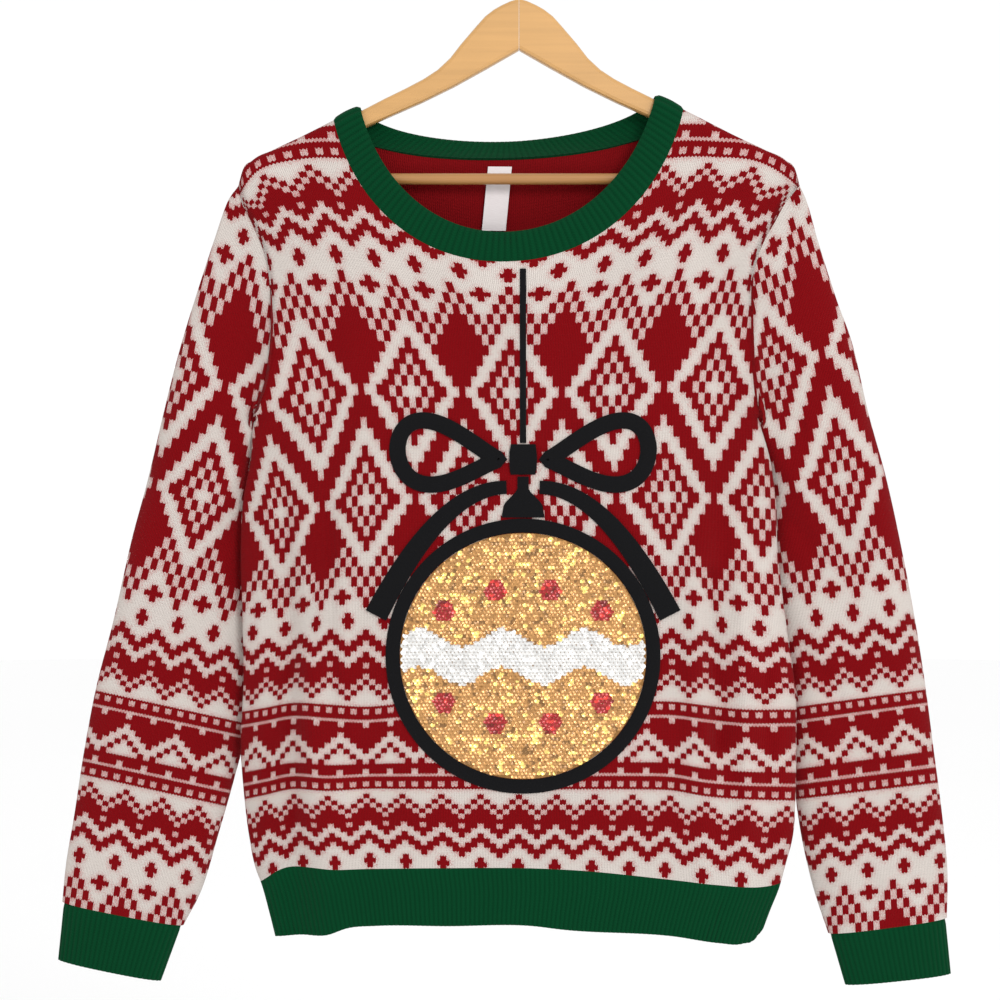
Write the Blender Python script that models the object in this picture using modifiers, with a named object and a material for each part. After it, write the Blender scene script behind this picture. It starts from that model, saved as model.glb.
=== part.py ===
"""A knitted sweater hanging on a flat wooden hanger.

The hook's inner top, where a rail carries it, is the origin. X points to the viewer's right,
-Y to the viewer and +Z up. Every length below is in millimetres, and a place on the garment is
given by x and by its drop, the distance below the rail.
"""

import math
from types import SimpleNamespace

import bmesh
import bpy
import numpy as np

MM = 0.001

# ---------------------------------------------------------------- driving dimensions
GAP = 0.3  # between neighbouring pieces
NECK_GAP = 0.5  # at the neck seam, which bends sharply over the hanger
WALL = 2.4  # the knit's thickness
RIB = 0.8  # how far a rib's crest stands above its valleys
NECK_RIBS_FRONT = 76
NECK_RIBS_BACK = 58
HEM_RIBS = 112  # on the front, and as many on the back
CUFF_RIBS = 50
RIB_EDGE = 0.25  # share of a rib's height that is left at a sewn edge

SHOULDER_DROP = 222.0  # where the shoulder seam meets the armhole
UNDERARM_DROP = 408.0
ARMHOLE_ROUND = 55.0  # height over which the armhole closes at the underarm
SHOULDER_ROLL = 12.0  # height over which the cloth rolls over the hanger
ROLL_POWER = 2.8  # above 2 the roll is squarer than a circle, as over a flat hanger
SHOULDER_DEPTH = 10.8  # from the hanger's middle plane to the cloth's outside
BODY_DEPTH = 22.0  # the same, lower down
DEPTH_GROWS_OVER = 200.0
SIDE_POWER = 3.5  # a high power keeps the section flat and rounds it near the side seams
ARMHOLE_DEPTH = 0.93  # share of the depth that is left at the armhole seam
BODY_FORWARD = -7.0  # the body swings in front of the sleeves below the arms

# Side edges of the body: the armhole down to the underarm, then the side seam and hem rib.
SIDES = (
    "drop left right",
    [
        (222, -224.0, 224.0),
        (236, -221.0, 212.5),
        (252, -213.0, 203.5),
        (270, -205.0, 193.5),
        (288, -200.0, 187.5),
        (320, -197.0, 185.5),
        (350, -197.5, 186.0),
        (380, -202.0, 187.5),
        (408, -211.5, 191.5),
        (440, -214.0, 200.0),
        (470, -219.5, 204.5),
        (510, -222.0, 206.0),
        (545, -221.5, 209.5),
        (590, -220.0, 215.5),
        (625, -220.0, 220.5),
        (665, -222.0, 221.0),
        (705, -219.5, 220.5),
        (745, -214.5, 217.5),
        (765, -210.5, 212.0),
        (780, -205.0, 208.0),
        (800, -199.5, 200.0),
        (830, -192.0, 189.0),
    ],
)

# The line of the cloth over the hanger's arm, alike on both sides.
RIDGE = (
    "x drop",
    [
        (0, 89.0),
        (60, 124.0),
        (126, 158.2),
        (150, 170.4),
        (170, 180.6),
        (196, 193.0),
        (213, 201.6),
        (221, 210.5),
        (224, 222.0),
    ],
)

# The hem rib's seam and lower edge, by place across the body from -1 at the left side seam to 1.
HEM = (
    "across seam bottom",
    [
        (-1.00, 777.0, 820.0),
        (-0.88, 764.8, 817.5),
        (-0.78, 763.8, 816.5),
        (-0.69, 765.0, 811.0),
        (-0.57, 764.4, 809.0),
        (-0.29, 763.6, 809.0),
        (0.06, 763.8, 809.0),
        (0.17, 764.8, 811.6),
        (0.63, 774.4, 817.4),
        (0.83, 779.0, 823.4),
        (0.93, 780.0, 824.4),
        (1.00, 778.0, 824.0),
    ],
)

# Neck curves: the lower part of a superellipse, between two points on the shoulders. above is
# how far its centre lies above them.
NECK = (
    "middle half_width lowest above power",
    {
        "front_seam": (-8.4, 139.6, 284.2, 50.0, 2.1),
        "front_edge": (-9.0, 118.0, 260.4, 46.0, 2.05),
        "back_seam": (-8.4, 139.6, 199.0, 10.0, 2.2),
        "back_edge": (-9.2, 118.0, 183.0, 8.0, 2.0),
    },
)
BACK_NECK_LEAN = 15.0  # how far the back neckband's free edge falls backwards
NECK_CROWN = 1.2  # how far the middle of the neckband stands proud

# Soft folds of the front and back, each a ridge (out above 0) or trough along a line.
BODY_FOLDS = (
    "panel x1 drop1 x2 drop2 width out",
    [
        ("front", -186, 560, -178, 830, 13, -6.0),
        ("front", -160, 600, -150, 830, 15, 4.0),
        ("front", -196, 425, -150, 350, 13, -3.5),
        ("front", 160, 470, 168, 700, 13, -5.0),
        ("front", 143, 520, 146, 780, 12, 3.0),
        ("front", 186, 430, 140, 345, 13, -3.5),
        ("front", 186, 700, 170, 830, 13, 3.5),
        ("back", 178, 520, 170, 830, 14, -6.0),
        ("back", 145, 600, 132, 830, 16, 4.0),
        ("back", 192, 430, 140, 330, 13, -4.0),
        ("back", -150, 480, -160, 780, 14, -5.0),
        ("back", -196, 430, -145, 340, 13, -4.0),
        ("back", -60, 300, -95, 430, 20, -3.0),
        ("back", 20, 640, 30, 830, 20, -3.0),
    ],
)

# Sleeve sections from the shoulder to the cuff. The outer edge is the silhouette's, the inner
# one lies along the body. depth is front to back, outer_y and inner_y the edges' middles.
SLEEVE_COLUMNS = "outer_x outer_drop inner_x inner_drop depth outer_y inner_y"
SLEEVES = {
    "left": [
        (-233.0, 235.4, -214.0, 413.0, 41, 0, -1),
        (-243.4, 265.0, -216.5, 419.0, 42, 0, 2),
        (-258.0, 309.0, -218.0, 428.0, 44, 1, 5),
        (-271.6, 353.0, -219.5, 443.0, 45, 2, 9),
        (-284.0, 401.0, -219.0, 466.0, 45, 3, 13),
        (-297.4, 457.0, -217.5, 501.0, 43, 4, 16),
        (-310.4, 505.0, -217.0, 541.0, 40, 4, 16),
        (-324.4, 567.0, -216.0, 596.0, 38, 4, 16),
        (-338.4, 621.0, -217.5, 648.0, 36, 4, 15),
        (-348.4, 673.0, -228.5, 695.4, 34, 4, 11),
        (-356.4, 725.0, -241.6, 742.0, 32, 4, 8),
        (-362.8, 762.6, -254.0, 784.0, 30, 4, 6),
        (-366.0, 794.6, -269.0, 813.8, 27, 4, 5),
    ],
    "right": [
        (230.5, 237.0, 195.0, 413.0, 41, 0, -1),
        (239.6, 269.0, 199.5, 419.0, 42, 0, 2),
        (254.0, 313.0, 203.5, 429.0, 44, 1, 5),
        (267.0, 349.0, 207.0, 443.0, 45, 2, 9),
        (279.6, 402.6, 206.5, 464.0, 45, 3, 13),
        (293.6, 453.0, 202.5, 492.0, 43, 4, 16),
        (304.4, 501.0, 203.5, 527.0, 40, 4, 16),
        (316.0, 561.0, 209.5, 577.0, 38, 4, 16),
        (325.0, 617.0, 217.0, 631.0, 36, 4, 16),
        (332.4, 673.0, 220.0, 688.0, 34, 4, 14),
        (339.2, 725.0, 226.0, 738.0, 32, 4, 10),
        (343.4, 769.0, 236.0, 783.0, 30, 4, 7),
        (343.0, 807.4, 248.0, 820.2, 27, 4, 5),
    ],
}
CUFF_TOP_WIDTH = 0.96  # the cuff gathers the sleeve's end to this share of its width
CUFF_ENDS = {
    "left": (-368.8, 841.0, -287.2, 857.8, 22, 4, 4),
    "right": (345.6, 852.2, 261.8, 861.0, 22, 4, 4),
}
SLEEVE_RINGS = 16
SLEEVE_POWER = 3.0
SLEEVE_ASPECT = 0.25  # half its width over its length
BLEND_RINGS = 5.0  # sections over which the armhole's own shape fades into the sleeve's

# Soft folds of a sleeve: along is 0 at the shoulder and 1 at the cuff, across is -1 at the
# sleeve's inner edge and 1 at its outer edge.
SLEEVE_FOLDS = (
    "face along1 across1 along2 across2 width out",
    [
        ("front", 0.16, -0.55, 0.30, 0.35, 0.10, -3.5),
        ("front", 0.30, -0.70, 0.42, 0.10, 0.09, -3.0),
        ("front", 0.55, -0.60, 0.66, 0.20, 0.09, -2.5),
        ("front", 0.78, -0.20, 0.92, 0.60, 0.08, -2.0),
        ("back", 0.14, -0.50, 0.28, 0.40, 0.10, -4.0),
        ("back", 0.36, -0.60, 0.50, 0.30, 0.09, -3.0),
        ("back", 0.62, -0.50, 0.74, 0.30, 0.09, -3.0),
    ],
)

# The picture patch and its ribbon, sewn on the front panel.
MOTIF_X = 3.0
PATCH_DROP = 596.0  # the round patch's centre
PATCH_RADIUS = 97.0
BORDER_WIDTH = 11.0
APPLIQUE = 1.6  # thickness of what is sewn on
KNOT_DROP = 441.0
BOW_SPAN = 104.0  # from the knot's middle to a loop's far end
RIBBON = 13.0  # the ribbon's width
TAIL_START = (13.0, 463.0)  # a ribbon end's, sideways of the knot, and drop
TAIL_END = (116.0, 564.0)

# The label inside the back neck.
LABEL_X = -15.2
LABEL_DRIFT = -5.0  # sideways from its top to its foot
LABEL_WIDTH = 19.2
LABEL_DROPS = (204.5, 256.0)
LABEL_THICK = 1.0

# The hanger: an arm's outline, sideways of the middle and drop, as far as it shows.
HANGER_THICK = 12.0
HANGER_EDGE = 3.0  # rounding of the wood's edges
ARM_BELOW_CLOTH = 3.9  # the wall's thickness on the slope, and a gap
ARM_SHOWN_TOP = [(0.0, 72.4), (7.0, 74.6), (14.0, 77.8), (20.0, 81.2), (27.0, 86.6)]
ARM_SHOWN_TOP += [(34.0, 94.4), (46.0, 108.4), (55.0, 120.0), (64.8, 129.2), (76.0, 136.6)]
ARM_SHOWN_TOP += [(90.4, 144.2), (107.0, 152.3)]
ARM_HIDDEN_TOP = [126.0, 150.0, 170.0, 190.0]  # sideways, on the cloth's line
ARM_TIP = [(203.0, 202.4), (212.5, 211.5), (215.0, 219.0)]
ARM_TIP += [(211.0, 224.5), (200.0, 225.0), (192.0, 223.5)]
ARM_INNER_TOP = (192.0, 209.5)  # above the bar's end
ARM_UNDERSIDE = [(120.0, 173.8), (78.0, 155.4), (52.0, 142.6), (26.0, 128.2), (0.0, 113.4)]
BAR_RADIUS = 4.5
BAR_DROP = 216.2
WIRE = 3.6  # the hook's diameter
HOOK_RADIUS = 19.0  # inside, round the rail
HOOK_NECK = [(0.0, 72.1), (0.0, 56.0), (0.4, 50.5), (2.6, 46.2), (7.0, 41.8)]
HOOK_ARC = (-52.0, 196.0)  # degrees from +X, over the top

COLOURS = {
    "ivory_red_knit": (0.60, 0.10, 0.09),
    "green_rib": (0.0, 0.14, 0.05),
    "sequins": (0.75, 0.48, 0.18),
    "black_applique": (0.004, 0.004, 0.005),
    "satin": (0.85, 0.82, 0.80),
    "beech": (0.72, 0.47, 0.22),
    "steel": (0.55, 0.55, 0.56),
}
METALS = {"steel": 1.0, "sequins": 0.6}


# ---------------------------------------------------------------- small helpers
def columns(names, rows):
    """A table's columns by name."""
    return SimpleNamespace(**dict(zip(names.split(), map(np.array, zip(*rows)))))


def smooth(at, xs, ys):
    """A cubic through a table's rows, which stays at its end values beyond them."""
    xs = np.asarray(xs, float)
    ys = np.asarray(ys, float)
    at = np.clip(at, xs[0], xs[-1])
    i = np.clip(np.searchsorted(xs, at) - 1, 0, len(xs) - 2)
    slope = np.gradient(ys, xs)
    h = xs[i + 1] - xs[i]
    t = (at - xs[i]) / h
    start = ys[i] * (1 + 2 * t) + h * slope[i] * t
    end = ys[i + 1] * (3 - 2 * t) + h * slope[i + 1] * (t - 1)
    return start * (1 - t) ** 2 + end * t**2


def ease(t):
    """0 to 1 with level ends."""
    t = np.clip(t, 0, 1)
    return t * t * (3 - 2 * t)


def rounded(t, power=2.0):
    """A quarter circle's rise from 0 to 1, or a squarer one's for a higher power."""
    return (1 - (1 - np.clip(t, 0, 1)) ** power) ** (1 / power)


def near_line(x, y, x1, y1, x2, y2, width):
    """1 on a line's points, fading to 0 over about width."""
    dx, dy = x2 - x1, y2 - y1
    t = np.clip(((x - x1) * dx + (y - y1) * dy) / (dx * dx + dy * dy), 0, 1)
    away = np.hypot(x - x1 - t * dx, y - y1 - t * dy)
    return np.exp(-((away / width) ** 2))


def unit(v):
    return v / np.maximum(np.linalg.norm(v, axis=-1, keepdims=True), 1e-9)


def place(x, y, drop):
    """Points from x, y and drop arrays."""
    return np.stack(np.broadcast_arrays(x, y, -np.asarray(drop, float)), -1)


# ---------------------------------------------------------------- the body's surface
SIDE = columns(*SIDES)
RIDGE_LINE = columns(*RIDGE)
HEM_LINE = columns(*HEM)


def side_edges(drop):
    return smooth(drop, SIDE.drop, SIDE.left), smooth(drop, SIDE.drop, SIDE.right)


def x_at(across, drop):
    left, right = side_edges(drop)
    return (left + right) / 2 + across * (right - left) / 2


def across_at(x, drop):
    left, right = side_edges(drop)
    return (2 * x - left - right) / (right - left)


def ridge(x):
    return smooth(np.abs(x), RIDGE_LINE.x, RIDGE_LINE.drop)


def folds(panel, x, drop):
    total = 0.0
    for name, x1, drop1, x2, drop2, width, out in BODY_FOLDS[1]:
        if name == panel:
            total = total + out * near_line(x, drop, x1, drop1, x2, drop2, width)
    return total


def body_point(panel, across, drop):
    """The outside of the front or back panel, or of the hem rib below it."""
    across = np.asarray(across, float)
    drop = np.asarray(drop, float)
    x = x_at(across, drop)
    below = np.maximum(drop - ridge(x), 0)
    roll = rounded(below / SHOULDER_ROLL, ROLL_POWER)
    depth = SHOULDER_DEPTH + (BODY_DEPTH - SHOULDER_DEPTH) * ease(below / DEPTH_GROWS_OVER)
    open_side = ARMHOLE_DEPTH * rounded((UNDERARM_DROP - drop) / ARMHOLE_ROUND)
    side = np.clip(np.abs(across), 0, 1) ** SIDE_POWER
    section = np.sqrt(np.clip(1 - (1 - open_side**2) * side, 0, 1))
    out = depth * section * roll
    out = out + folds(panel, x, drop) * roll * (1 - np.abs(across) ** 8)
    middle = BODY_FORWARD * ease((drop - 330) / 130)
    sign = -1 if panel == "front" else 1
    return place(x, middle + sign * (out + GAP / 2), drop)


def body_normal(panel, across, drop):
    """The outward normal there, from points a hair apart, inside the panel."""
    hair = 1e-4
    inward = np.where(across < 0, 1, -1)
    here = body_point(panel, across, drop)
    sideways = (body_point(panel, across + inward * hair, drop) - here) * inward[..., None]
    down = body_point(panel, across, drop + hair * 200) - here
    normal = unit(np.cross(sideways, down))
    return normal if panel == "back" else -normal


# ---------------------------------------------------------------- neck curves
def neck_curve(name, turn):
    """x and drop round a neck curve. turn is 0 on the left shoulder and 1 on the right one."""
    middle, half_width, lowest, above, power = NECK[1][name]
    left, right = middle - half_width, middle + half_width
    left_drop, right_drop = float(ridge(left)), float(ridge(right))
    height = lowest - (left_drop + right_drop) / 2 + above
    start = math.asin((above / height) ** (power / 2))
    angle = start + (math.pi - 2 * start) * turn
    wide = half_width / math.cos(start) ** (2 / power)
    c = -np.cos(angle)
    x = middle + wide * np.sign(c) * np.abs(c) ** (2 / power)
    line = left_drop + (right_drop - left_drop) * (x - left) / (right - left)
    return x, line - above + height * np.sin(angle) ** (2 / power)


# ---------------------------------------------------------------- panel grids
SHOULDER_STEPS = np.array([0.0, 0.05, 0.15, 0.32, 0.54, 0.77])  # from the armhole to the neck
# Places round the neck, close together where the seam rolls over the hanger.
HALF_NECK = [0.0, 0.007, 0.019, 0.042, 0.085, 0.14, 0.20, 0.27, 0.345, 0.42]
NECK_TURNS = np.array(HALF_NECK + [0.5] + [1 - t for t in reversed(HALF_NECK)])
BODY_ROWS = 9
ARMHOLE_ROWS = np.array([0.06, 0.15, 0.27, 0.41, 0.56, 0.70, 0.82, 0.90, 0.955, 0.985, 1.0])


def top_edge(panel):
    """x and drop along a panel's top: shoulder seam, neck seam, shoulder seam."""
    x, drop = neck_curve(panel + "_seam", NECK_TURNS)
    tip = RIDGE_LINE.x[-1]
    left = -tip + (x[0] + tip) * SHOULDER_STEPS
    right = tip + (x[-1] - tip) * SHOULDER_STEPS[::-1]
    x = np.concatenate([left, x, right])
    drop = np.concatenate([ridge(left), drop, ridge(right)])
    return x, drop


def panel_places(panel):
    """across and drop of a panel's grid, from the hem up."""
    x, top = top_edge(panel)
    across = np.clip(across_at(x, top), -1, 1)
    across[0], across[-1] = -1, 1
    hem = smooth(across, HEM_LINE.across, HEM_LINE.seam) - GAP
    low = [hem + (UNDERARM_DROP - hem) * i / BODY_ROWS for i in range(BODY_ROWS + 1)]
    high = [UNDERARM_DROP + (top - UNDERARM_DROP) * f for f in ARMHOLE_ROWS]
    drops = np.array(low + high)
    return np.broadcast_to(across, drops.shape), drops


def panel_walls(panel):
    """The outer and inner points of the front or back panel."""
    across, drops = panel_places(panel)
    outer = body_point(panel, across, drops)
    normal = body_normal(panel, across, drops)
    seams = [np.s_[:, 0], np.s_[:, -1]]
    arm = BODY_ROWS + 1
    for edge, side in zip(seams, (-1, 1)):
        normal[edge][:arm] = (side, 0, 0)  # a side seam's wall stays on its own side
        toward = normal[edge][arm:, 0] * side
        normal[edge][arm:, 0] = side * np.maximum(toward, 0)
    shoulder = np.r_[0 : len(SHOULDER_STEPS) + 1, -len(SHOULDER_STEPS) - 1 : 0]
    normal[-1, shoulder, 1] = 0
    normal = unit(normal)
    return outer, outer - WALL * normal


# ---------------------------------------------------------------- making objects
def material(name):
    mat = bpy.data.materials.get(name)
    if mat is None:
        mat = bpy.data.materials.new(name)
        mat.use_nodes = True
        shader = mat.node_tree.nodes["Principled BSDF"]
        shader.inputs["Base Color"].default_value = (*COLOURS[name], 1)
        shader.inputs["Metallic"].default_value = METALS.get(name, 0.0)
        shader.inputs["Roughness"].default_value = 0.35 if name in METALS else 0.8
    return mat


def link(name, mesh, mat):
    obj = bpy.data.objects.new(name, mesh)
    obj.data.materials.append(material(mat))
    bpy.data.collections["christmas_sweater"].objects.link(obj)
    return obj


def solid(name, points, faces, mat):
    mesh = bpy.data.meshes.new(name)
    bm = bmesh.new()
    verts = [bm.verts.new(p) for p in np.asarray(points) * MM]
    for face in faces:
        bm.faces.new([verts[i] for i in face])
    bmesh.ops.recalc_face_normals(bm, faces=bm.faces)
    bm.to_mesh(mesh)
    bm.free()
    mesh.shade_smooth()
    mesh.set_sharp_from_angle(angle=math.radians(50))
    return link(name, mesh, mat)


def wall(name, outer, inner, mat, closed=False):
    """A closed wall between two grids of rows and columns.

    closed joins the last column to the first. A ribbed outer grid has two steps, valley to crest
    to valley, for each step of the plain inner one.
    """
    rows, wide = outer.shape[:2]
    narrow = inner.shape[1]
    steps = narrow if closed else narrow - 1
    ratio = wide // steps
    first_inner = rows * wide

    def out(r, c):
        return r * wide + c % wide

    def inn(r, c):
        return first_inner + r * narrow + c % narrow

    faces = []
    for c in range(steps):
        for r in range(rows - 1):
            faces.append((inn(r, c), inn(r + 1, c), inn(r + 1, c + 1), inn(r, c + 1)))
            for d in range(c * ratio, (c + 1) * ratio):
                faces.append((out(r, d), out(r, d + 1), out(r + 1, d + 1), out(r + 1, d)))
        for r in (0, rows - 1):
            edge = [out(r, d) for d in range(c * ratio, (c + 1) * ratio + 1)]
            if ratio == 2:
                faces.append(edge)
            faces.append((edge[0], edge[-1], inn(r, c + 1), inn(r, c)))
    if not closed:
        for c_out, c_in in ((0, 0), (wide - 1, narrow - 1)):
            for r in range(rows - 1):
                faces.append((out(r, c_out), out(r + 1, c_out), inn(r + 1, c_in), inn(r, c_in)))
    points = np.concatenate([outer.reshape(-1, 3), inner.reshape(-1, 3)])
    return solid(name, points, faces, mat)


def grid_normals(points, closed):
    """Outward normals of a grid whose columns run anticlockwise seen from below its last row."""
    if closed:
        round_it = np.roll(points, -1, 1) - np.roll(points, 1, 1)
    else:
        round_it = np.gradient(points, axis=1)
    along = np.gradient(points, axis=0)
    return unit(np.cross(round_it, along))


def ribbed(name, base, normal, mat, closed):
    """A rib band. base and normal hold two steps for each rib, valley first."""
    lift = np.zeros(base.shape[:2])
    lift[:, 1::2] = RIB
    lift[0] *= RIB_EDGE
    outer = base + lift[..., None] * normal
    inner = (base - WALL * normal)[:, ::2]
    return wall(name, outer, inner, mat, closed)


def along_polyline(points, steps):
    """Points spread evenly along a polyline, its own corners among them."""
    length = np.concatenate([[0], np.cumsum(np.linalg.norm(np.diff(points, axis=0), axis=1))])
    corners = np.round(length / length[-1] * steps)
    at = np.arange(steps + 1)
    return np.stack([np.interp(at, corners, points[:, i]) for i in range(points.shape[1])], 1)


# ---------------------------------------------------------------- the pieces
def make_panels():
    walls = {}
    for panel in ("front", "back"):
        walls[panel] = panel_walls(panel)
        wall(panel + "_panel", *walls[panel], "ivory_red_knit")
    return walls


def make_hem(panel, outer, inner):
    """The hem rib below a panel. Its seam follows the panel's own lower edge."""
    down = np.array([0, 0, -GAP])
    across = panel_places(panel)[0][0]
    edge = np.concatenate([outer[0] + down, inner[0] + down, across[:, None]], 1)
    edge = along_polyline(edge, 2 * HEM_RIBS)
    place_across = edge[:, 6]
    bottom = smooth(place_across, HEM_LINE.across, HEM_LINE.bottom)
    low = body_point(panel, place_across, bottom)
    low_normal = body_normal(panel, place_across, bottom)
    top_normal = unit(edge[:, 0:3] - edge[:, 3:6])
    for ends in (low_normal, top_normal):
        ends[0], ends[-1] = (-1, 0, 0), (1, 0, 0)
    base = np.stack([edge[:, 0:3], low])
    normal = np.stack([top_normal, low_normal])
    ribbed("hem_rib_" + panel, base, normal, "green_rib", closed=False)


def neck_ring(panel, outer, inner):
    """The neckband's two edges along one panel, with the wall's direction at the seam."""
    first = len(SHOULDER_STEPS)
    seam = np.s_[-1, first : first + len(NECK_TURNS)]
    ribs = NECK_RIBS_FRONT if panel == "front" else NECK_RIBS_BACK
    edge = np.concatenate([outer[seam], inner[seam], NECK_TURNS[:, None]], 1)
    edge = along_polyline(edge, 2 * ribs)
    x, drop = neck_curve(panel + "_edge", edge[:, 6])
    free = body_point(panel, across_at(x, drop), drop)
    if panel == "back":
        free[:, 1] += BACK_NECK_LEAN * np.sin(np.pi * edge[:, 6]) ** 1.5
    return edge[:, 0:3], free, unit(edge[:, 0:3] - edge[:, 3:6])


def make_neck_rib(walls):
    front = neck_ring("front", *walls["front"])
    back = neck_ring("back", *walls["back"])
    # Round the neck: the front from left to right, then the back from right to left.
    seam, free, seam_normal = (
        np.concatenate([f[:-1], b[::-1][:-1]]) for f, b in zip(front, back)
    )
    toward = unit(free - seam)
    start = seam + NECK_GAP * toward
    middle = (start + free) / 2
    rough = np.stack([start, middle, free])
    normal = -grid_normals(rough, closed=True)
    flip = np.sign(np.sum(normal[0] * seam_normal, -1).sum())
    normal = normal * flip
    normal[0] = unit(seam_normal - toward * np.sum(seam_normal * toward, -1, keepdims=True))
    rough[1] += NECK_CROWN * normal[1]
    ribbed("neck_rib", rough, normal, "green_rib", closed=True)


def armhole_ring(side):
    """The armhole's outline: underarm, up the front, shoulder, down the back."""
    across = -1.0 if side == "left" else 1.0
    shares = np.append(0, ARMHOLE_ROWS)
    drops = UNDERARM_DROP + (SHOULDER_DROP - UNDERARM_DROP) * shares
    front = body_point("front", across, drops)
    back = body_point("back", across, drops)
    middle = (front + back) / 2
    ring = np.concatenate([middle[:1], front[1:-1], middle[-1:], back[1:-1][::-1]])
    ring[:, 0] += across * GAP
    return ring


def sleeve_sections(side, ring):
    """The rows of the sleeve's table at evenly spread rings, the armhole first."""
    rows = columns(SLEEVE_COLUMNS, SLEEVES[side])
    count = len(rows.depth)
    top = ring[len(ring) // 2]
    first = (top[0], -top[2], ring[0][0], -ring[0][2], 40, 0, ring[0][1])
    at = np.linspace(0, count, SLEEVE_RINGS)
    values = []
    for start, name in zip(first, SLEEVE_COLUMNS.split()):
        values.append(smooth(at, np.arange(count + 1), np.append(start, getattr(rows, name))))
    return at, np.array(values).T


def ring_points(section, place_on, face, own=None, share=0.0):
    """A section's outline. place_on is -1 at its inner edge and 1 at its outer one, and face is
    -1 on the front and 1 on the back. own is the armhole's outline, in the section's terms."""
    outer_x, outer_drop, inner_x, inner_drop, depth, outer_y, inner_y = section
    middle = np.array([(outer_x + inner_x) / 2, -(outer_drop + inner_drop) / 2])
    half = np.array([(outer_x - inner_x) / 2, -(outer_drop - inner_drop) / 2])
    across = np.array([half[1], -half[0]]) / np.hypot(*half)
    swell = face * depth / 2 * np.sqrt(np.clip(1 - np.abs(place_on) ** SLEEVE_POWER, 0, 1))
    bend = np.zeros_like(place_on)
    if own is not None:
        swell = (1 - share) * own[0] + share * swell
        bend = (1 - share) * own[1]
    flat = middle + place_on[:, None] * half + bend[:, None] * across
    y = (inner_y + outer_y) / 2 + place_on * (outer_y - inner_y) / 2 + swell
    return np.stack([flat[:, 0], y, flat[:, 1]], 1)


def sleeve_grid(side):
    ring = armhole_ring(side)
    at, sections = sleeve_sections(side, ring)
    outer_x, outer_drop, inner_x, inner_drop = sections[0][:4]
    half = np.array([(outer_x - inner_x) / 2, -(outer_drop - inner_drop) / 2])
    length = np.hypot(*half)
    rel = ring[:, [0, 2]] - [(outer_x + inner_x) / 2, -(outer_drop + inner_drop) / 2]
    place_on = rel @ half / length**2
    bend = rel @ np.array([half[1], -half[0]]) / length
    chord_y = (ring[0][1] + 0) / 2 + place_on * (0 - ring[0][1]) / 2
    own = (ring[:, 1] - chord_y, bend)
    steps = len(ARMHOLE_ROWS)
    face = np.where(np.arange(2 * steps) < steps, -1, 1)
    rings = [ring]
    for t, section in zip(at[1:], sections[1:]):
        share = float(ease(t / BLEND_RINGS))
        rings.append(ring_points(section, place_on, face, own, share))
    return np.array(rings), place_on, face


def fold_sleeve(points, normal, place_on, face):
    """Moves a sleeve's points in and out along its folds."""
    along = np.linspace(0, 1, len(points))[:, None]
    across = place_on[None] * SLEEVE_ASPECT
    for name, along1, across1, along2, across2, width, out in SLEEVE_FOLDS[1]:
        line = (along1, across1 * SLEEVE_ASPECT, along2, across2 * SLEEVE_ASPECT)
        here = near_line(along, across, *line, width)
        here = here * (face == (-1 if name == "front" else 1)) * (1 - np.abs(place_on) ** 4)
        here = here * ease(along / 0.1) * ease((1 - along) / 0.08)
        points = points + (out * here)[..., None] * normal
    return points


def outward(points, normal):
    """Turns a ring grid's normals away from its axis."""
    axis = points.mean(1, keepdims=True)
    return normal * np.sign(np.sum(normal * (points - axis)))


def make_sleeve(side):
    points, place_on, face = sleeve_grid(side)
    normal = outward(points, grid_normals(points, closed=True))
    points = fold_sleeve(points, normal, place_on, face)
    normal = outward(points, grid_normals(points, closed=True))
    toward_body = 1 if side == "left" else -1
    normal[0, :, 0] = toward_body * np.maximum(normal[0, :, 0] * toward_body, 0)
    normal[0] = unit(normal[0])
    inner = points - WALL * normal
    wall("sleeve_" + side, points, inner, "ivory_red_knit", closed=True)
    return points[-1], inner[-1]


def make_cuff(side, seam, seam_inner):
    """The cuff below a sleeve. Its seam lies inside the sleeve's own end."""
    count = 2 * CUFF_RIBS
    ring = np.concatenate([seam, seam_inner], 1)
    ring = along_polyline(np.concatenate([ring, ring[:1]]), count)[:-1]
    top, top_inner = ring[:, 0:3], ring[:, 3:6]
    section = np.array(CUFF_ENDS[side], float)
    centre = top.mean(0)
    outer_x, outer_drop, inner_x, inner_drop = section[:4]
    low_centre = np.array([(outer_x + inner_x) / 2, section[5], -(outer_drop + inner_drop) / 2])
    axis = unit(low_centre - centre)
    half = np.array([(outer_x - inner_x) / 2, 0, -(outer_drop - inner_drop) / 2])
    top_half = seam[len(seam) // 2] - seam[0]
    place_on = (top - centre) @ unit(top_half)
    place_on = place_on / np.abs(place_on).max()
    face = np.where(np.arange(count) < count // 2, -1, 1)
    low = low_centre + place_on[:, None] * half
    low[:, 1] += face * section[4] / 2 * np.sqrt(np.clip(1 - np.abs(place_on) ** 2.6, 0, 1))
    top = centre + (top - centre) * [CUFF_TOP_WIDTH, 1, CUFF_TOP_WIDTH] + GAP * axis
    base = np.stack([top, low])
    normal = outward(base, grid_normals(base, closed=True))
    ribbed("cuff_" + side, base, normal, "green_rib", closed=True)


# ---------------------------------------------------------------- what is sewn on the front
def front_surface(walls):
    """A function from x and drop to the front panel's own faceted surface."""
    across, drops = panel_places("front")
    outer = walls["front"][0]

    def surface(x, drop):
        a = across_at(x, drop)
        column = np.clip(np.searchsorted(across[0], a) - 1, 0, across.shape[1] - 2)
        u = (a - across[0][column]) / (across[0][column + 1] - across[0][column])
        y = np.zeros_like(u)
        for i, (c, share) in enumerate(zip(column, u)):
            here = drops[:, c] + (drops[:, c + 1] - drops[:, c]) * share
            depth = outer[:, c, 1] + (outer[:, c + 1, 1] - outer[:, c, 1]) * share
            y[i] = np.interp(-drop[i], -here, depth)
        return place(x, y, drop)

    return surface


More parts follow.
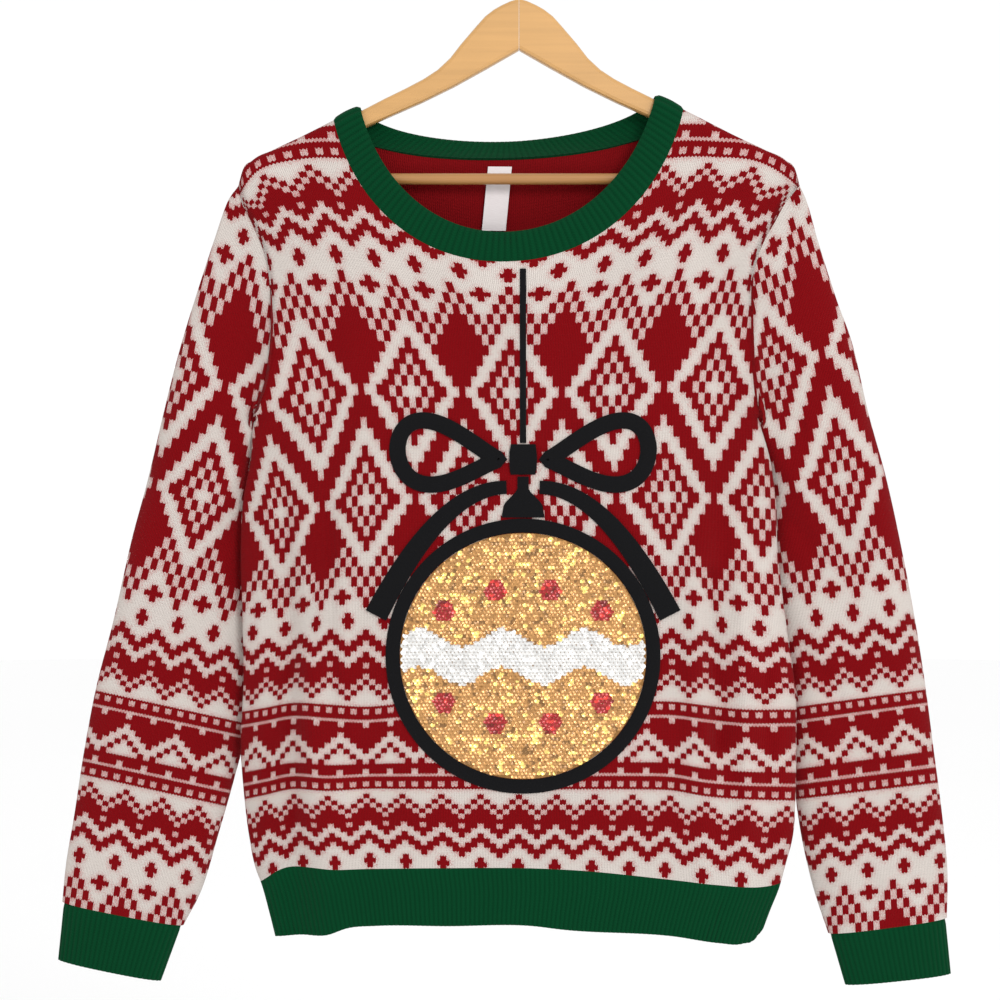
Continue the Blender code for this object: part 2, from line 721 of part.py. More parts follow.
def sewn_on(name, grid_x, grid_drop, surface, mat, closed=False):
    """A flat piece whose points are the panel's, moved out."""
    shape = grid_x.shape
    points = surface(grid_x.ravel(), grid_drop.ravel())
    back = points + np.array([0, -GAP - 0.1, 0])
    front = back + np.array([0, -APPLIQUE, 0])
    return wall(name, front.reshape(*shape, 3), back.reshape(*shape, 3), mat, closed)


def ribbon(name, middle, widths, surface, closed=False):
    """A strip along a line of (sideways, drop) places."""
    middle = np.array(middle, float)
    if closed:
        along = np.roll(middle, -1, 0) - np.roll(middle, 1, 0)
    else:
        along = np.gradient(middle, axis=0)
    side = unit(np.stack([-along[:, 1], along[:, 0]], 1)) * np.asarray(widths)[:, None] / 2
    rows = np.stack([middle + side, middle - side])
    return sewn_on(name, MOTIF_X + rows[..., 0], rows[..., 1], surface, "black_applique", closed)


def make_patch(surface):
    """A round sequin patch with a black border."""
    turn = np.linspace(0, 2 * np.pi, 40, endpoint=False)
    radii = np.array([0.08, 0.4, 0.7, 1.0]) * PATCH_RADIUS
    x = MOTIF_X + radii[:, None] * np.sin(turn)
    drop = PATCH_DROP + radii[:, None] * np.cos(turn)
    points = surface(x.ravel(), drop.ravel()).reshape(*x.shape, 3)
    back = points + np.array([0, -GAP - 0.1, 0])
    front = back + np.array([0, -APPLIQUE, 0])
    count = len(turn)
    faces = []
    both = np.concatenate([front.reshape(-1, 3), back.reshape(-1, 3)])
    far = len(radii) * count
    for c in range(count):
        d = (c + 1) % count
        for r in range(len(radii) - 1):
            for base in (0, far):
                a, b = base + r * count, base + (r + 1) * count
                faces.append((a + c, a + d, b + d, b + c))
        edge = (len(radii) - 1) * count
        faces.append((edge + c, edge + d, far + edge + d, far + edge + c))
    faces += [tuple(range(count)), tuple(range(far, far + count))]
    solid("motif_patch", both, faces, "sequins")
    radius = PATCH_RADIUS + 0.4 + BORDER_WIDTH / 2
    ring = np.stack([radius * np.sin(turn), PATCH_DROP + radius * np.cos(turn)], 1)
    ribbon("motif_border", ring, np.full(count, BORDER_WIDTH), surface, closed=True)


def make_bow(surface):
    """A black ribbon bow over the patch, with its hanging cord."""
    half_knot = 11.0
    knot_x = np.array([[-half_knot, 0, half_knot]] * 3)
    knot_drop = KNOT_DROP + np.array([[-12.0] * 3, [0.0] * 3, [12.0] * 3])
    sewn_on("motif_knot", MOTIF_X + knot_x, knot_drop, surface, "black_applique")
    turn = np.linspace(0, 2 * np.pi, 24, endpoint=False)
    reach = BOW_SPAN - half_knot - 2 * RIBBON / 2
    for side, name in ((-1, "left"), (1, "right")):
        along = (1 - np.cos(turn)) / 2
        x = side * (half_knot + RIBBON / 2 + 1.5 + reach * along**0.9)
        drop = KNOT_DROP - 8 * along + 34 * np.sin(turn) * along**0.6
        loop = np.stack([x, drop], 1)
        ribbon("motif_loop_" + name, loop, np.full(len(turn), RIBBON), surface, closed=True)
        t = np.linspace(0, 1, 12)
        tail_x = side * (TAIL_START[0] + (TAIL_END[0] - TAIL_START[0]) * t**0.9)
        tail_drop = TAIL_START[1] + (TAIL_END[1] - TAIL_START[1]) * t**1.8
        tail = np.stack([tail_x, tail_drop], 1)
        widths = RIBBON * (0.8 + 0.6 * t)
        ribbon("motif_tail_" + name, tail, widths, surface)
    cord_drop = np.linspace(290, KNOT_DROP - 13, 10)
    cord = np.stack([np.zeros(10), cord_drop], 1)
    ribbon("motif_cord", cord, np.full(10, 5.0), surface)
    ring_drop = np.linspace(KNOT_DROP + 13.5, PATCH_DROP - PATCH_RADIUS - BORDER_WIDTH - 1.2, 4)
    ring = np.stack([np.zeros(4), ring_drop], 1)
    ribbon("motif_cap", ring, np.array([9.0, 9.0, 30.0, 34.0]), surface)


def make_label():
    """A blank tape against the inside of the back panel."""
    drops = np.linspace(*LABEL_DROPS, 7)[:, None]
    part_way = (drops - LABEL_DROPS[0]) / (LABEL_DROPS[1] - LABEL_DROPS[0])
    x = LABEL_X + LABEL_DRIFT * part_way + np.array([-0.5, 0, 0.5]) * LABEL_WIDTH
    drops = np.broadcast_to(drops, x.shape)
    cloth = body_point("back", across_at(x, drops), drops)
    hang = 0.6 + 2.0 * part_way
    cloth[..., 1] -= WALL + GAP + hang
    front = cloth - np.array([0, LABEL_THICK, 0])
    wall("label", cloth, front, "satin")


# ---------------------------------------------------------------- the hanger
def arm_outline():
    hidden = [(x, float(ridge(x)) + ARM_BELOW_CLOTH) for x in ARM_HIDDEN_TOP]
    return ARM_SHOWN_TOP + hidden + ARM_TIP + [ARM_INNER_TOP] + ARM_UNDERSIDE


def make_arms():
    """Each arm is a flat outline with rounded edges, mitred at the middle."""
    for side, name in ((-1, "left"), (1, "right")):
        outline = arm_outline()
        mesh = bpy.data.meshes.new("hanger_arm_" + name)
        bm = bmesh.new()
        verts = [bm.verts.new((side * max(x, GAP / 2) * MM, 0, -drop * MM)) for x, drop in outline]
        face = bm.faces.new(verts)
        made = bmesh.ops.extrude_face_region(bm, geom=[face])["geom"]
        moved = [v for v in made if isinstance(v, bmesh.types.BMVert)]
        bmesh.ops.translate(bm, verts=moved, vec=(0, HANGER_THICK / 2 * MM, 0))
        bmesh.ops.translate(bm, verts=verts, vec=(0, -HANGER_THICK / 2 * MM, 0))
        bmesh.ops.recalc_face_normals(bm, faces=bm.faces)
        bm.to_mesh(mesh)
        bm.free()
        arm = link("hanger_arm_" + name, mesh, "beech")
        round_edges(arm)


def round_edges(arm):
    """Bevels the long edges of the wood's two faces, but not at the mitre."""
    weight = arm.data.attributes.new("bevel_weight_edge", "FLOAT", "EDGE")
    flat = HANGER_THICK / 2 * MM - 1e-6
    for edge in arm.data.edges:
        ends = [arm.data.vertices[i].co for i in edge.vertices]
        on_face = all(abs(abs(p.y)) > flat for p in ends) and ends[0].y * ends[1].y > 0
        at_mitre = all(abs(p.x) < GAP * MM for p in ends)
        weight.data[edge.index].value = 1.0 if on_face and not at_mitre else 0.0
    bevel = arm.modifiers.new("edges", "BEVEL")
    bevel.limit_method = "WEIGHT"
    bevel.width = HANGER_EDGE * MM
    bevel.segments = 2


def make_bar():
    """A round bar between the arms' ends."""
    length = 2 * (ARM_INNER_TOP[0] - GAP)
    bpy.ops.mesh.primitive_cylinder_add(
        vertices=16,
        radius=BAR_RADIUS * MM,
        depth=length * MM,
        location=(0, 0, -BAR_DROP * MM),
        rotation=(0, math.pi / 2, 0),
    )
    bar = bpy.context.object
    bar.name = bar.data.name = "hanger_bar"
    bar.data.materials.append(material("beech"))
    bar.data.shade_smooth()
    bar.data.set_sharp_from_angle(angle=math.radians(40))
    for other in list(bar.users_collection):
        other.objects.unlink(bar)
    bpy.data.collections["christmas_sweater"].objects.link(bar)


def make_hook():
    """A bent wire with its end on the wood's top."""
    radius = HOOK_RADIUS + WIRE / 2
    angles = np.radians(np.linspace(*HOOK_ARC, 22))
    arc = [(radius * math.cos(a), HOOK_RADIUS - radius * math.sin(a)) for a in angles]
    route = HOOK_NECK + arc
    data = bpy.data.curves.new("hanger_hook", "CURVE")
    data.dimensions = "3D"
    data.bevel_depth = WIRE / 2 * MM
    data.bevel_resolution = 2
    data.use_fill_caps = True
    spline = data.splines.new("POLY")
    spline.points.add(len(route) - 1)
    for point, (x, drop) in zip(spline.points, route):
        point.co = (x * MM, 0, -drop * MM, 1)
    data.materials.append(material("steel"))
    hook = bpy.data.objects.new("hanger_hook", data)
    bpy.data.collections["christmas_sweater"].objects.link(hook)


def main():
    for obj in list(bpy.data.objects):
        bpy.data.objects.remove(obj)
    parts = bpy.data.collections.new("christmas_sweater")
    bpy.context.scene.collection.children.link(parts)
    walls = make_panels()
    for panel in ("front", "back"):
        make_hem(panel, *walls[panel])
    make_neck_rib(walls)
    for side in ("left", "right"):
        make_cuff(side, *make_sleeve(side))
    surface = front_surface(walls)
    make_patch(surface)
    make_bow(surface)
    make_label()
    make_arms()
    make_bar()
    make_hook()


main()
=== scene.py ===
"""The looks of a knitted sweater on its hanger.

X points to the viewer's right, -Y to the viewer and +Z up. The hook's inner top is the origin.
Lengths are in millimetres, and a place on the garment is given by x and by its drop below the
origin. The cloth is a set of thin shells on nearly the same surfaces as the solids, with the
knit's chart, stitches and relief in their materials.
"""

import math
from types import SimpleNamespace

import bpy
import numpy as np
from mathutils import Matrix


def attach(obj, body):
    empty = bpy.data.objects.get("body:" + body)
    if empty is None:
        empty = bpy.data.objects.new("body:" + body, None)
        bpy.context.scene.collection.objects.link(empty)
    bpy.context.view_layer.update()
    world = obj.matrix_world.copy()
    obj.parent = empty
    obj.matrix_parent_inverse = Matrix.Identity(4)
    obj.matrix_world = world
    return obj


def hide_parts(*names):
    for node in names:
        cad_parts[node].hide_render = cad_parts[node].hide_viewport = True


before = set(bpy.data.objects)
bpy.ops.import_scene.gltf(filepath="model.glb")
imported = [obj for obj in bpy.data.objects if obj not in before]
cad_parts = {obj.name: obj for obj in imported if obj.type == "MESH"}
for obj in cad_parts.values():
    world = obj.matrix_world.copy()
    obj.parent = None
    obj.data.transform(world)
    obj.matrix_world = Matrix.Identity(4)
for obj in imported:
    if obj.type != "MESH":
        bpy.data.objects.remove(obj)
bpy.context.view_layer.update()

MM = 0.001
BODY = "root"

# ---------------------------------------------------------------- the garment's own sizes
GAP = 0.3  # between neighbouring pieces
WALL = 2.4  # the cloth's thickness
RIB = 1.0  # how far a rib's crest stands above its valleys
RELAXED = 0.7  # the same on the hem and cuffs, whose ribs hang open, as a share of it
NECK_RIBS_FRONT = 76
NECK_RIBS_BACK = 58
HEM_RIBS = 112
CUFF_RIBS = 50
RIB_STEPS = 4  # points across a rib
RIB_FADES = 0.12  # the share of a band over which its ribs rise, and a folded one turns back
SHOULDER_DROP = 222.0
UNDERARM_DROP = 408.0
ARMHOLE_ROUND = 55.0  # the armhole opens over this height above the underarm
SHOULDER_ROLL = 12.0  # the cloth turns over the shoulder's line within this height
ROLL_POWER = 2.8
SHOULDER_DEPTH = 10.8  # from the middle to the cloth's outside, below the shoulder
BODY_DEPTH = 22.0  # the same in the body
DEPTH_GROWS_OVER = 200.0  # from one to the other
SIDE_POWER = 3.5  # how square the body's section is
ARMHOLE_DEPTH = 0.93  # the armhole's depth as a share of the cloth's
BODY_FORWARD = -7.0  # how far the body hangs in front of the hanger's plane
FORWARD_FROM, FORWARD_OVER = 330.0, 130.0  # where it comes forward
NECK_CROWN = 1.2  # how far the neckband bulges
BACK_NECK_LEAN = 15.0  # how far the back neckband's edge leans away

SIDES = (
    "drop left right",
    [
        (222, -224.0, 224.0),
        (236, -221.0, 212.5),
        (252, -213.0, 203.5),
        (270, -205.0, 193.5),
        (288, -200.0, 187.5),
        (320, -197.0, 185.5),
        (350, -197.5, 186.0),
        (380, -202.0, 187.5),
        (408, -211.5, 191.5),
        (440, -214.0, 200.0),
        (470, -219.5, 204.5),
        (510, -222.0, 206.0),
        (545, -221.5, 209.5),
        (590, -220.0, 215.5),
        (625, -220.0, 220.5),
        (665, -222.0, 221.0),
        (705, -219.5, 220.5),
        (745, -214.5, 217.5),
        (765, -210.5, 212.0),
        (780, -205.0, 208.0),
        (800, -199.5, 200.0),
        (830, -192.0, 189.0),
    ],
)
RIDGE = (
    "x drop",
    [
        (0, 89.0),
        (60, 124.0),
        (126, 158.2),
        (150, 170.4),
        (170, 180.6),
        (196, 193.0),
        (213, 201.6),
        (221, 210.5),
        (224, 222.0),
    ],
)
HEM = (
    "across seam bottom",
    [
        (-1.00, 777.0, 820.0),
        (-0.88, 764.8, 817.5),
        (-0.78, 763.8, 816.5),
        (-0.69, 765.0, 811.0),
        (-0.57, 764.4, 809.0),
        (-0.29, 763.6, 809.0),
        (0.06, 763.8, 809.0),
        (0.17, 764.8, 811.6),
        (0.63, 774.4, 817.4),
        (0.83, 779.0, 823.4),
        (0.93, 780.0, 824.4),
        (0.975, 779.0, 821.5),
        (1.00, 778.0, 812.0),
    ],
)
NECK = {  # middle, half width, lowest drop, centre's height, power
    "front_seam": (-8.4, 139.6, 284.2, 50.0, 2.1),
    "front_edge": (-9.0, 118.0, 260.4, 46.0, 2.05),
    "back_seam": (-8.4, 139.6, 199.0, 10.0, 2.2),
    "back_edge": (-9.2, 118.0, 183.0, 8.0, 2.0),
}

# The largest folds, as the solids have them, and then the small ones that show in the cloth.
BODY_FOLDS = (
    "panel x1 drop1 x2 drop2 width out",
    [
        ("front", -186, 560, -178, 830, 13, -6.0),
        ("front", -160, 600, -150, 830, 15, 4.0),
        ("front", -196, 425, -150, 350, 13, -3.5),
        ("front", 160, 470, 168, 700, 13, -5.0),
        ("front", 143, 520, 146, 780, 12, 3.0),
        ("front", 186, 430, 140, 345, 13, -3.5),
        ("front", 186, 700, 170, 830, 13, 3.5),
        ("back", 178, 520, 170, 830, 14, -6.0),
        ("back", 145, 600, 132, 830, 16, 4.0),
        ("back", 192, 430, 140, 330, 13, -4.0),
        ("back", -150, 480, -160, 780, 14, -5.0),
        ("back", -196, 430, -145, 340, 13, -4.0),
        ("back", -60, 300, -95, 430, 20, -3.0),
        ("back", 20, 640, 30, 830, 20, -3.0),
        ("front", -185, 470, -181, 745, 7, -6.0),
        ("front", -169, 520, -165, 700, 7, 3.0),
        ("front", -151, 480, -148, 640, 7, -3.5),
        ("front", -205, 540, -203, 760, 6, 1.8),
        ("front", -128, 560, -122, 610, 7, -1.4),
        ("front", -206, 300, -170, 268, 7, -1.8),
        ("front", -190, 372, -165, 352, 6, 1.6),
        ("front", 150, 535, 158, 665, 7, -7.0),
        ("front", 175, 520, 179, 730, 7, 3.2),
        ("front", 194, 500, 199, 740, 7, -4.5),
        ("front", 137, 560, 134, 700, 8, 1.8),
        ("front", 172, 300, 138, 262, 7, -1.8),
        ("front", 180, 372, 152, 350, 6, 1.6),
        ("back", 190, 480, 186, 740, 6, -3.0),
        ("back", 160, 540, 155, 720, 6, -2.2),
        ("back", -168, 500, -172, 720, 6, 2.2),
        ("back", -188, 470, -186, 740, 6, -2.8),
        ("back", 70, 330, 96, 420, 9, -1.8),
    ],
)

# A sleeve's sections from near the armhole down: its two edges, and how deep it is between them.
SLEEVE_COLUMNS = "outer_x outer_drop inner_x inner_drop depth outer_y inner_y"
SLEEVES = {
    "left": [
        (-233.0, 235.4, -214.0, 413.0, 41, 0, -1),
        (-243.4, 265.0, -212.5, 419.0, 42, 0, 2),
        (-258.0, 309.0, -211.5, 428.0, 44, 1, 7),
        (-271.6, 353.0, -212.5, 443.0, 45, 2, 11),
        (-284.0, 401.0, -214.5, 466.0, 45, 3, 14),
        (-297.4, 457.0, -217.5, 501.0, 43, 4, 16),
        (-310.4, 505.0, -217.0, 541.0, 40, 4, 16),
        (-324.4, 567.0, -216.0, 596.0, 38, 4, 16),
        (-338.4, 621.0, -217.5, 648.0, 36, 4, 15),
        (-348.4, 673.0, -228.5, 695.4, 34, 4, 11),
        (-356.4, 725.0, -241.6, 742.0, 32, 4, 8),
        (-362.8, 762.6, -254.0, 784.0, 30, 4, 6),
        (-366.0, 794.6, -269.0, 813.8, 27, 4, 5),
    ],
    "right": [
        (230.5, 237.0, 195.0, 413.0, 41, 0, -1),
        (239.6, 269.0, 192.5, 419.0, 42, 0, 3),
        (254.0, 313.0, 194.0, 429.0, 44, 1, 6),
        (267.0, 349.0, 197.0, 443.0, 45, 2, 10),
        (279.6, 402.6, 200.0, 464.0, 45, 3, 12),
        (293.6, 453.0, 202.5, 492.0, 43, 4, 11),
        (304.4, 501.0, 203.5, 527.0, 40, 4, 11),
        (316.0, 561.0, 209.5, 577.0, 38, 4, 11),
        (325.0, 617.0, 217.0, 631.0, 36, 4, 11),
        (332.4, 673.0, 220.0, 688.0, 34, 4, 10),
        (339.2, 725.0, 226.0, 738.0, 32, 4, 8),
        (343.4, 769.0, 236.0, 783.0, 30, 4, 7),
        (343.0, 807.4, 248.0, 820.2, 27, 4, 5),
    ],
}
CUFF_TOP_WIDTH = 0.96  # the cuff's top, as a share of the sleeve's end
CUFF_LENGTH = 45.0
CUFF_ENDS = {  # outer_x, outer_drop, inner_x, inner_drop
    "left": (-368.8, 841.0, -287.2, 857.8),
    "right": (345.6, 852.2, 261.8, 861.0),
}
CUFF_END_DEPTH = 22.0
CUFF_END_Y = 4.0
SLEEVE_TOP_DEPTH = 40.0
SLEEVE_POWER = 3.0  # how square a sleeve's section is
CUFF_POWER = 2.6
BLEND_RINGS = 5.0  # table rows over which the armhole's own outline fades into the sections
SLEEVE_ASPECT = 0.25  # half a sleeve's width as a share of its length
# along is 0 at the armhole and 1 at the cuff, across is -1 at the inner edge and 1 at the outer.
SLEEVE_FOLDS = (
    "face along1 across1 along2 across2 width out",
    [
        ("front", 0.16, -0.55, 0.30, 0.35, 0.10, -3.5),
        ("front", 0.30, -0.70, 0.42, 0.10, 0.09, -3.0),
        ("front", 0.55, -0.60, 0.66, 0.20, 0.09, -2.5),
        ("front", 0.78, -0.20, 0.92, 0.60, 0.08, -2.0),
        ("front", 0.24, -0.75, 0.33, -0.25, 0.022, -2.2),
        ("front", 0.34, -0.85, 0.44, -0.40, 0.022, 1.8),
        ("front", 0.46, -0.80, 0.53, -0.35, 0.022, -2.0),
        ("front", 0.62, -0.85, 0.70, -0.30, 0.020, -1.8),
        ("front", 0.84, -0.75, 0.93, -0.10, 0.020, -1.6),
        ("back", 0.14, -0.50, 0.28, 0.40, 0.10, -4.0),
        ("back", 0.36, -0.60, 0.50, 0.30, 0.09, -3.0),
        ("back", 0.62, -0.50, 0.74, 0.30, 0.09, -3.0),
        ("back", 0.26, -0.75, 0.38, -0.20, 0.022, -2.2),
        ("back", 0.50, -0.80, 0.58, -0.30, 0.022, 1.8),
        ("back", 0.80, -0.70, 0.90, -0.10, 0.020, -1.8),
    ],
)

# ---------------------------------------------------------------- the knit
STITCH = 2.5  # a stitch's width where the cloth is flat
ROW = 2.12  # a row's height there
SLANT = 0.5  # how far a stitch's legs rise from its middle, in rows
# Where the knit lies in a plan seen from the front: across from its left edge and down from its
# top, in steps of PLAN_UNIT on the hanger's own plane. The body's two tables have a line for each
# of some rows of the knit, at the stitches in BODY_STITCHES, counted from the middle column. Row 0
# is the middle of the upper diamonds.
PLAN_UNIT = 0.8
PLAN_MIDDLE = 500.0
EYE_X, EYE_Y, EYE_DROP = -15.2, -2000.0, 473.0  # where it is seen from, and the camera stands
FIRST_STITCH, FIRST_ROW = 3.15, 2.7  # a stitch's width and a row's height in it, at first guess
STEP_STITCH, STEP_ROW = 3.4, 2.9  # the same, for each step of the search
SEARCH_STEPS = 30
MIDDLE_ACROSS, MIDDLE_DOWN = 516.0, 393.0  # where row 0's middle stitch lies
BENDS_FROM, BENDS_OVER = 0.86, 0.1  # how far out the body bends back, as a share of its half
BODY_STITCHES = [-84, -72, -60, -48, -36, -18, 0, 18, 36, 48, 60, 72, 84]
BODY_ACROSS = {
    -104: [200, 215, 243, 291, 338, 420, 509, 598, 680, 727, 776, 805, 830],
    -80: [226, 233, 257, 304, 350, 426, 509, 593, 668, 712, 759, 794, 812],
    -60: [232, 254, 286, 324, 364, 431, 508, 587, 657, 696, 733, 768, 795],
    -47: [230, 264, 299, 336, 374, 436, 508, 583, 645, 685, 723, 758, 792],
    -38: [234, 268, 304, 343, 383, 445, 509, 577, 638, 677, 717, 752, 786],
    0: [252, 288, 326, 361, 399, 456, 512, 568, 625, 664, 702, 739, 776],
    40: [271, 301, 333, 366, 403, 459, 516, 572, 629, 667, 702, 738, 775],
    78: [269, 303, 331, 366, 403, 460, 518, 576, 633, 671, 705, 738, 779],
    120: [265, 294, 329, 366, 403, 461, 519, 576, 634, 672, 706, 745, 788],
    148: [264, 293, 327, 366, 402, 461, 519, 576, 633, 671, 707, 748, 789],
    181: [272, 303, 335, 370, 406, 462, 518, 573, 629, 665, 702, 741, 779],
    215: [274, 305, 337, 371, 406, 462, 518, 573, 628, 664, 700, 739, 777],
}
BODY_DOWN = {
    -104: [160, 125, 90, 75, 73, 85, 100, 85, 72, 71, 76, 100, 135],
    -80: [226, 200, 164, 152, 152, 164, 180, 164, 151, 150, 155, 176, 202],
    -60: [248, 228, 217, 213, 218, 231, 242, 232, 220, 211, 212, 222, 245],
    -47: [272, 263, 257, 254, 258, 267, 276, 267, 258, 253, 253, 258, 270],
    -38: [296, 288, 283, 282, 285, 292, 295, 291, 284, 281, 280, 283, 291],
    0: [410, 402, 394, 389, 391, 392, 393, 392, 389, 387, 387, 389, 393],
    40: [514, 510, 505, 500, 499, 500, 500, 500, 498, 497, 498, 500, 504],
    78: [609, 605, 598, 597, 597, 598, 598, 598, 598, 597, 599, 603, 606],
    120: [713, 708, 710, 712, 709, 708, 707, 707, 707, 707, 711, 715, 715],
    148: [790, 784, 786, 784, 784, 784, 784, 784, 784, 785, 791, 794, 795],
    181: [870, 862, 863, 860, 861, 864, 866, 867, 869, 870, 876, 880, 883],
    215: [950, 945, 947, 946, 947, 949, 951, 952, 954, 956, 961, 965, 968],
}
# A sleeve's knit, a line for each of some rows: the row, where one column lies there across and
# down, how far the row falls for each step to the right, and a stitch's width across.
SLEEVE_STITCH = {"left": 16, "right": -16}  # that column
SLEEVE_ROWS = (-90.0, 240.0)  # the rows that are looked at
SLEEVE_KNIT = {
    "left": [
        (-70, 262, 178, 0.62, 2.7),
        (-47, 254, 243, 0.58, 2.7),
        (-40, 249, 260, 0.55, 2.8),
        (-18, 235, 334, 0.34, 3.2),
        (0, 225, 387, 0.29, 3.2),
        (40, 203, 496, 0.25, 3.1),
        (60, 191, 549, 0.24, 3.1),
        (78, 178, 599, 0.22, 3.1),
        (87, 172, 624, 0.23, 3.0),
        (120, 156, 709, 0.217, 3.05),
        (136, 148, 750, 0.21, 3.1),
        (148, 141, 782, 0.22, 3.05),
        (181, 127, 865, 0.21, 3.0),
        (215, 115, 950, 0.19, 3.05),
    ],
    "right": [
        (-70, 772, 150, -1.0, 2.3),
        (-47, 787, 203, -0.9, 2.4),
        (-40, 793, 224, -0.8, 2.5),
        (-29, 803, 262, -0.55, 2.8),
        (-18, 813, 303, -0.45, 3.0),
        (0, 822, 354, -0.36, 3.1),
        (20, 834, 418, -0.23, 3.2),
        (40, 842, 478, -0.19, 3.15),
        (60, 849, 536, -0.16, 3.1),
        (78, 856, 586, -0.135, 3.06),
        (87, 859, 612, -0.14, 3.05),
        (120, 873, 702, -0.136, 3.0),
        (136, 881, 745, -0.14, 3.06),
        (148, 885, 783, -0.12, 3.07),
        (181, 892, 867, -0.13, 3.05),
        (215, 896, 950, -0.10, 3.05),
    ],
}


# ---------------------------------------------------------------- small helpers
def columns(names, rows):
    """A table's columns by name."""
    return SimpleNamespace(**dict(zip(names.split(), map(np.array, zip(*rows)))))


def straight_on(at, xs, ys):
    """A cubic through points, that goes straight on beyond its ends. ys may hold many curves."""
    xs = np.asarray(xs, float)
    ys = np.asarray(ys, float)
    slope = np.gradient(ys, xs, axis=0)
    inside = np.clip(at, xs[0], xs[-1])
    i = np.clip(np.searchsorted(xs, inside) - 1, 0, len(xs) - 2)
    h = xs[i + 1] - xs[i]
    t = (inside - xs[i]) / h
    here, after = i, i + 1
    if ys.ndim > 1:
        here, after = (i, np.arange(i.size)), (i + 1, np.arange(i.size))
    start = ys[here] * (1 + 2 * t) + h * slope[here] * t
    end = ys[after] * (3 - 2 * t) + h * slope[after] * (t - 1)
    beyond = np.where(at < xs[0], slope[here], slope[after]) * (at - inside)
    return start * (1 - t) ** 2 + end * t**2 + beyond


def smooth(at, xs, ys):
    """The same cubic, which stays at its end values beyond them."""
    return straight_on(np.clip(at, xs[0], xs[-1]), xs, ys)


def ease(t):
    """0 to 1 with level ends."""
    t = np.clip(t, 0, 1)
    return t * t * (3 - 2 * t)


def rounded(t, power=2.0):
    """0 to 1 along a round corner: steep at first and level at its end."""
    return (1 - (1 - np.clip(t, 0, 1)) ** power) ** (1 / power)


def swollen(place_on, power):
    """Half a flat tube's height across it: 1 in the middle and 0 at the edges, -1 and 1."""
    return np.sqrt(np.clip(1 - np.abs(place_on) ** power, 0, 1))


def near_line(x, y, x1, y1, x2, y2, width):
    """1 on a line's points, fading to 0 over about width."""
    dx, dy = x2 - x1, y2 - y1
    t = np.clip(((x - x1) * dx + (y - y1) * dy) / (dx * dx + dy * dy), 0, 1)
    away = np.hypot(x - x1 - t * dx, y - y1 - t * dy)
    return np.exp(-((away / width) ** 2))


def unit(v):
    return v / np.maximum(np.linalg.norm(v, axis=-1, keepdims=True), 1e-9)


def together(*parts):
    """Grids of numbers as one grid of points or pairs."""
    return np.stack(np.broadcast_arrays(*parts), -1)


def place(x, y, drop):
    """Points from their two places across and their drop."""
    return together(x, y, -np.asarray(drop, float))


def length_along(points):
    """How far along a line of points each of them lies."""
    steps = np.linalg.norm(np.diff(points, axis=0), axis=1)
    return np.concatenate([[0], np.cumsum(steps)])


def finer(values, steps):
    """A list of places with each gap split into steps."""
    values = np.asarray(values, float)
    at = np.linspace(0, len(values) - 1, (len(values) - 1) * steps + 1)
    return np.interp(at, np.arange(len(values)), values)


# ---------------------------------------------------------------- the body's surface
SIDE = columns(*SIDES)
RIDGE_LINE = columns(*RIDGE)
HEM_LINE = columns(*HEM)


def side_edges(drop):
    return smooth(drop, SIDE.drop, SIDE.left), smooth(drop, SIDE.drop, SIDE.right)


def x_at(across, drop):
    left, right = side_edges(drop)
    return (left + right) / 2 + across * (right - left) / 2


def across_at(x, drop):
    left, right = side_edges(drop)
    return (2 * x - left - right) / (right - left)


def ridge(x):
    return smooth(np.abs(x), RIDGE_LINE.x, RIDGE_LINE.drop)


def folds(panel, x, drop):
    """How far a panel's folds push its cloth out."""
    total = 0.0
    for name, x1, drop1, x2, drop2, width, out in BODY_FOLDS[1]:
        if name == panel:
            total = total + out * near_line(x, drop, x1, drop1, x2, drop2, width)
    return total


def body_point(panel, across, drop):
    """The outside of the front or back panel, or of the hem rib below it."""
    across = np.asarray(across, float)
    drop = np.asarray(drop, float)
    x = x_at(across, drop)
    below = np.maximum(drop - ridge(x), 0)
    roll = rounded(below / SHOULDER_ROLL, ROLL_POWER)
    depth = SHOULDER_DEPTH + (BODY_DEPTH - SHOULDER_DEPTH) * ease(below / DEPTH_GROWS_OVER)
    open_side = ARMHOLE_DEPTH * rounded((UNDERARM_DROP - drop) / ARMHOLE_ROUND)
    side = np.clip(np.abs(across), 0, 1) ** SIDE_POWER
    section = np.sqrt(np.clip(1 - (1 - open_side**2) * side, 0, 1))
    out = depth * section * roll
    out = out + folds(panel, x, drop) * roll * (1 - np.abs(across) ** 8)
    middle = BODY_FORWARD * ease((drop - FORWARD_FROM) / FORWARD_OVER)
    sign = -1 if panel == "front" else 1
    return place(x, middle + sign * (out + GAP / 2), drop)


def body_normal(panel, across, drop):
    """The outward normal there, from points a hair apart, inside the panel."""
    hair = 1e-4
    inward = np.where(across < 0, 1, -1)
    here = body_point(panel, across, drop)
    sideways = (body_point(panel, across + inward * hair, drop) - here) * inward[..., None]
    down = body_point(panel, across, drop + hair * 200) - here
    normal = unit(np.cross(sideways, down))
    return normal if panel == "back" else -normal


def neck_curve(name, turn):
    """x and drop round a neck curve. turn is 0 on the left shoulder and 1 on the right one."""
    middle, half_width, lowest, above, power = NECK[name]
    left, right = middle - half_width, middle + half_width
    left_drop, right_drop = float(ridge(left)), float(ridge(right))
    height = lowest - (left_drop + right_drop) / 2 + above
    start = math.asin((above / height) ** (power / 2))
    angle = start + (math.pi - 2 * start) * turn
    wide = half_width / math.cos(start) ** (2 / power)
    c = -np.cos(angle)
    x = middle + wide * np.sign(c) * np.abs(c) ** (2 / power)
    line = left_drop + (right_drop - left_drop) * (x - left) / (right - left)
    return x, line - above + height * np.sin(angle) ** (2 / power)


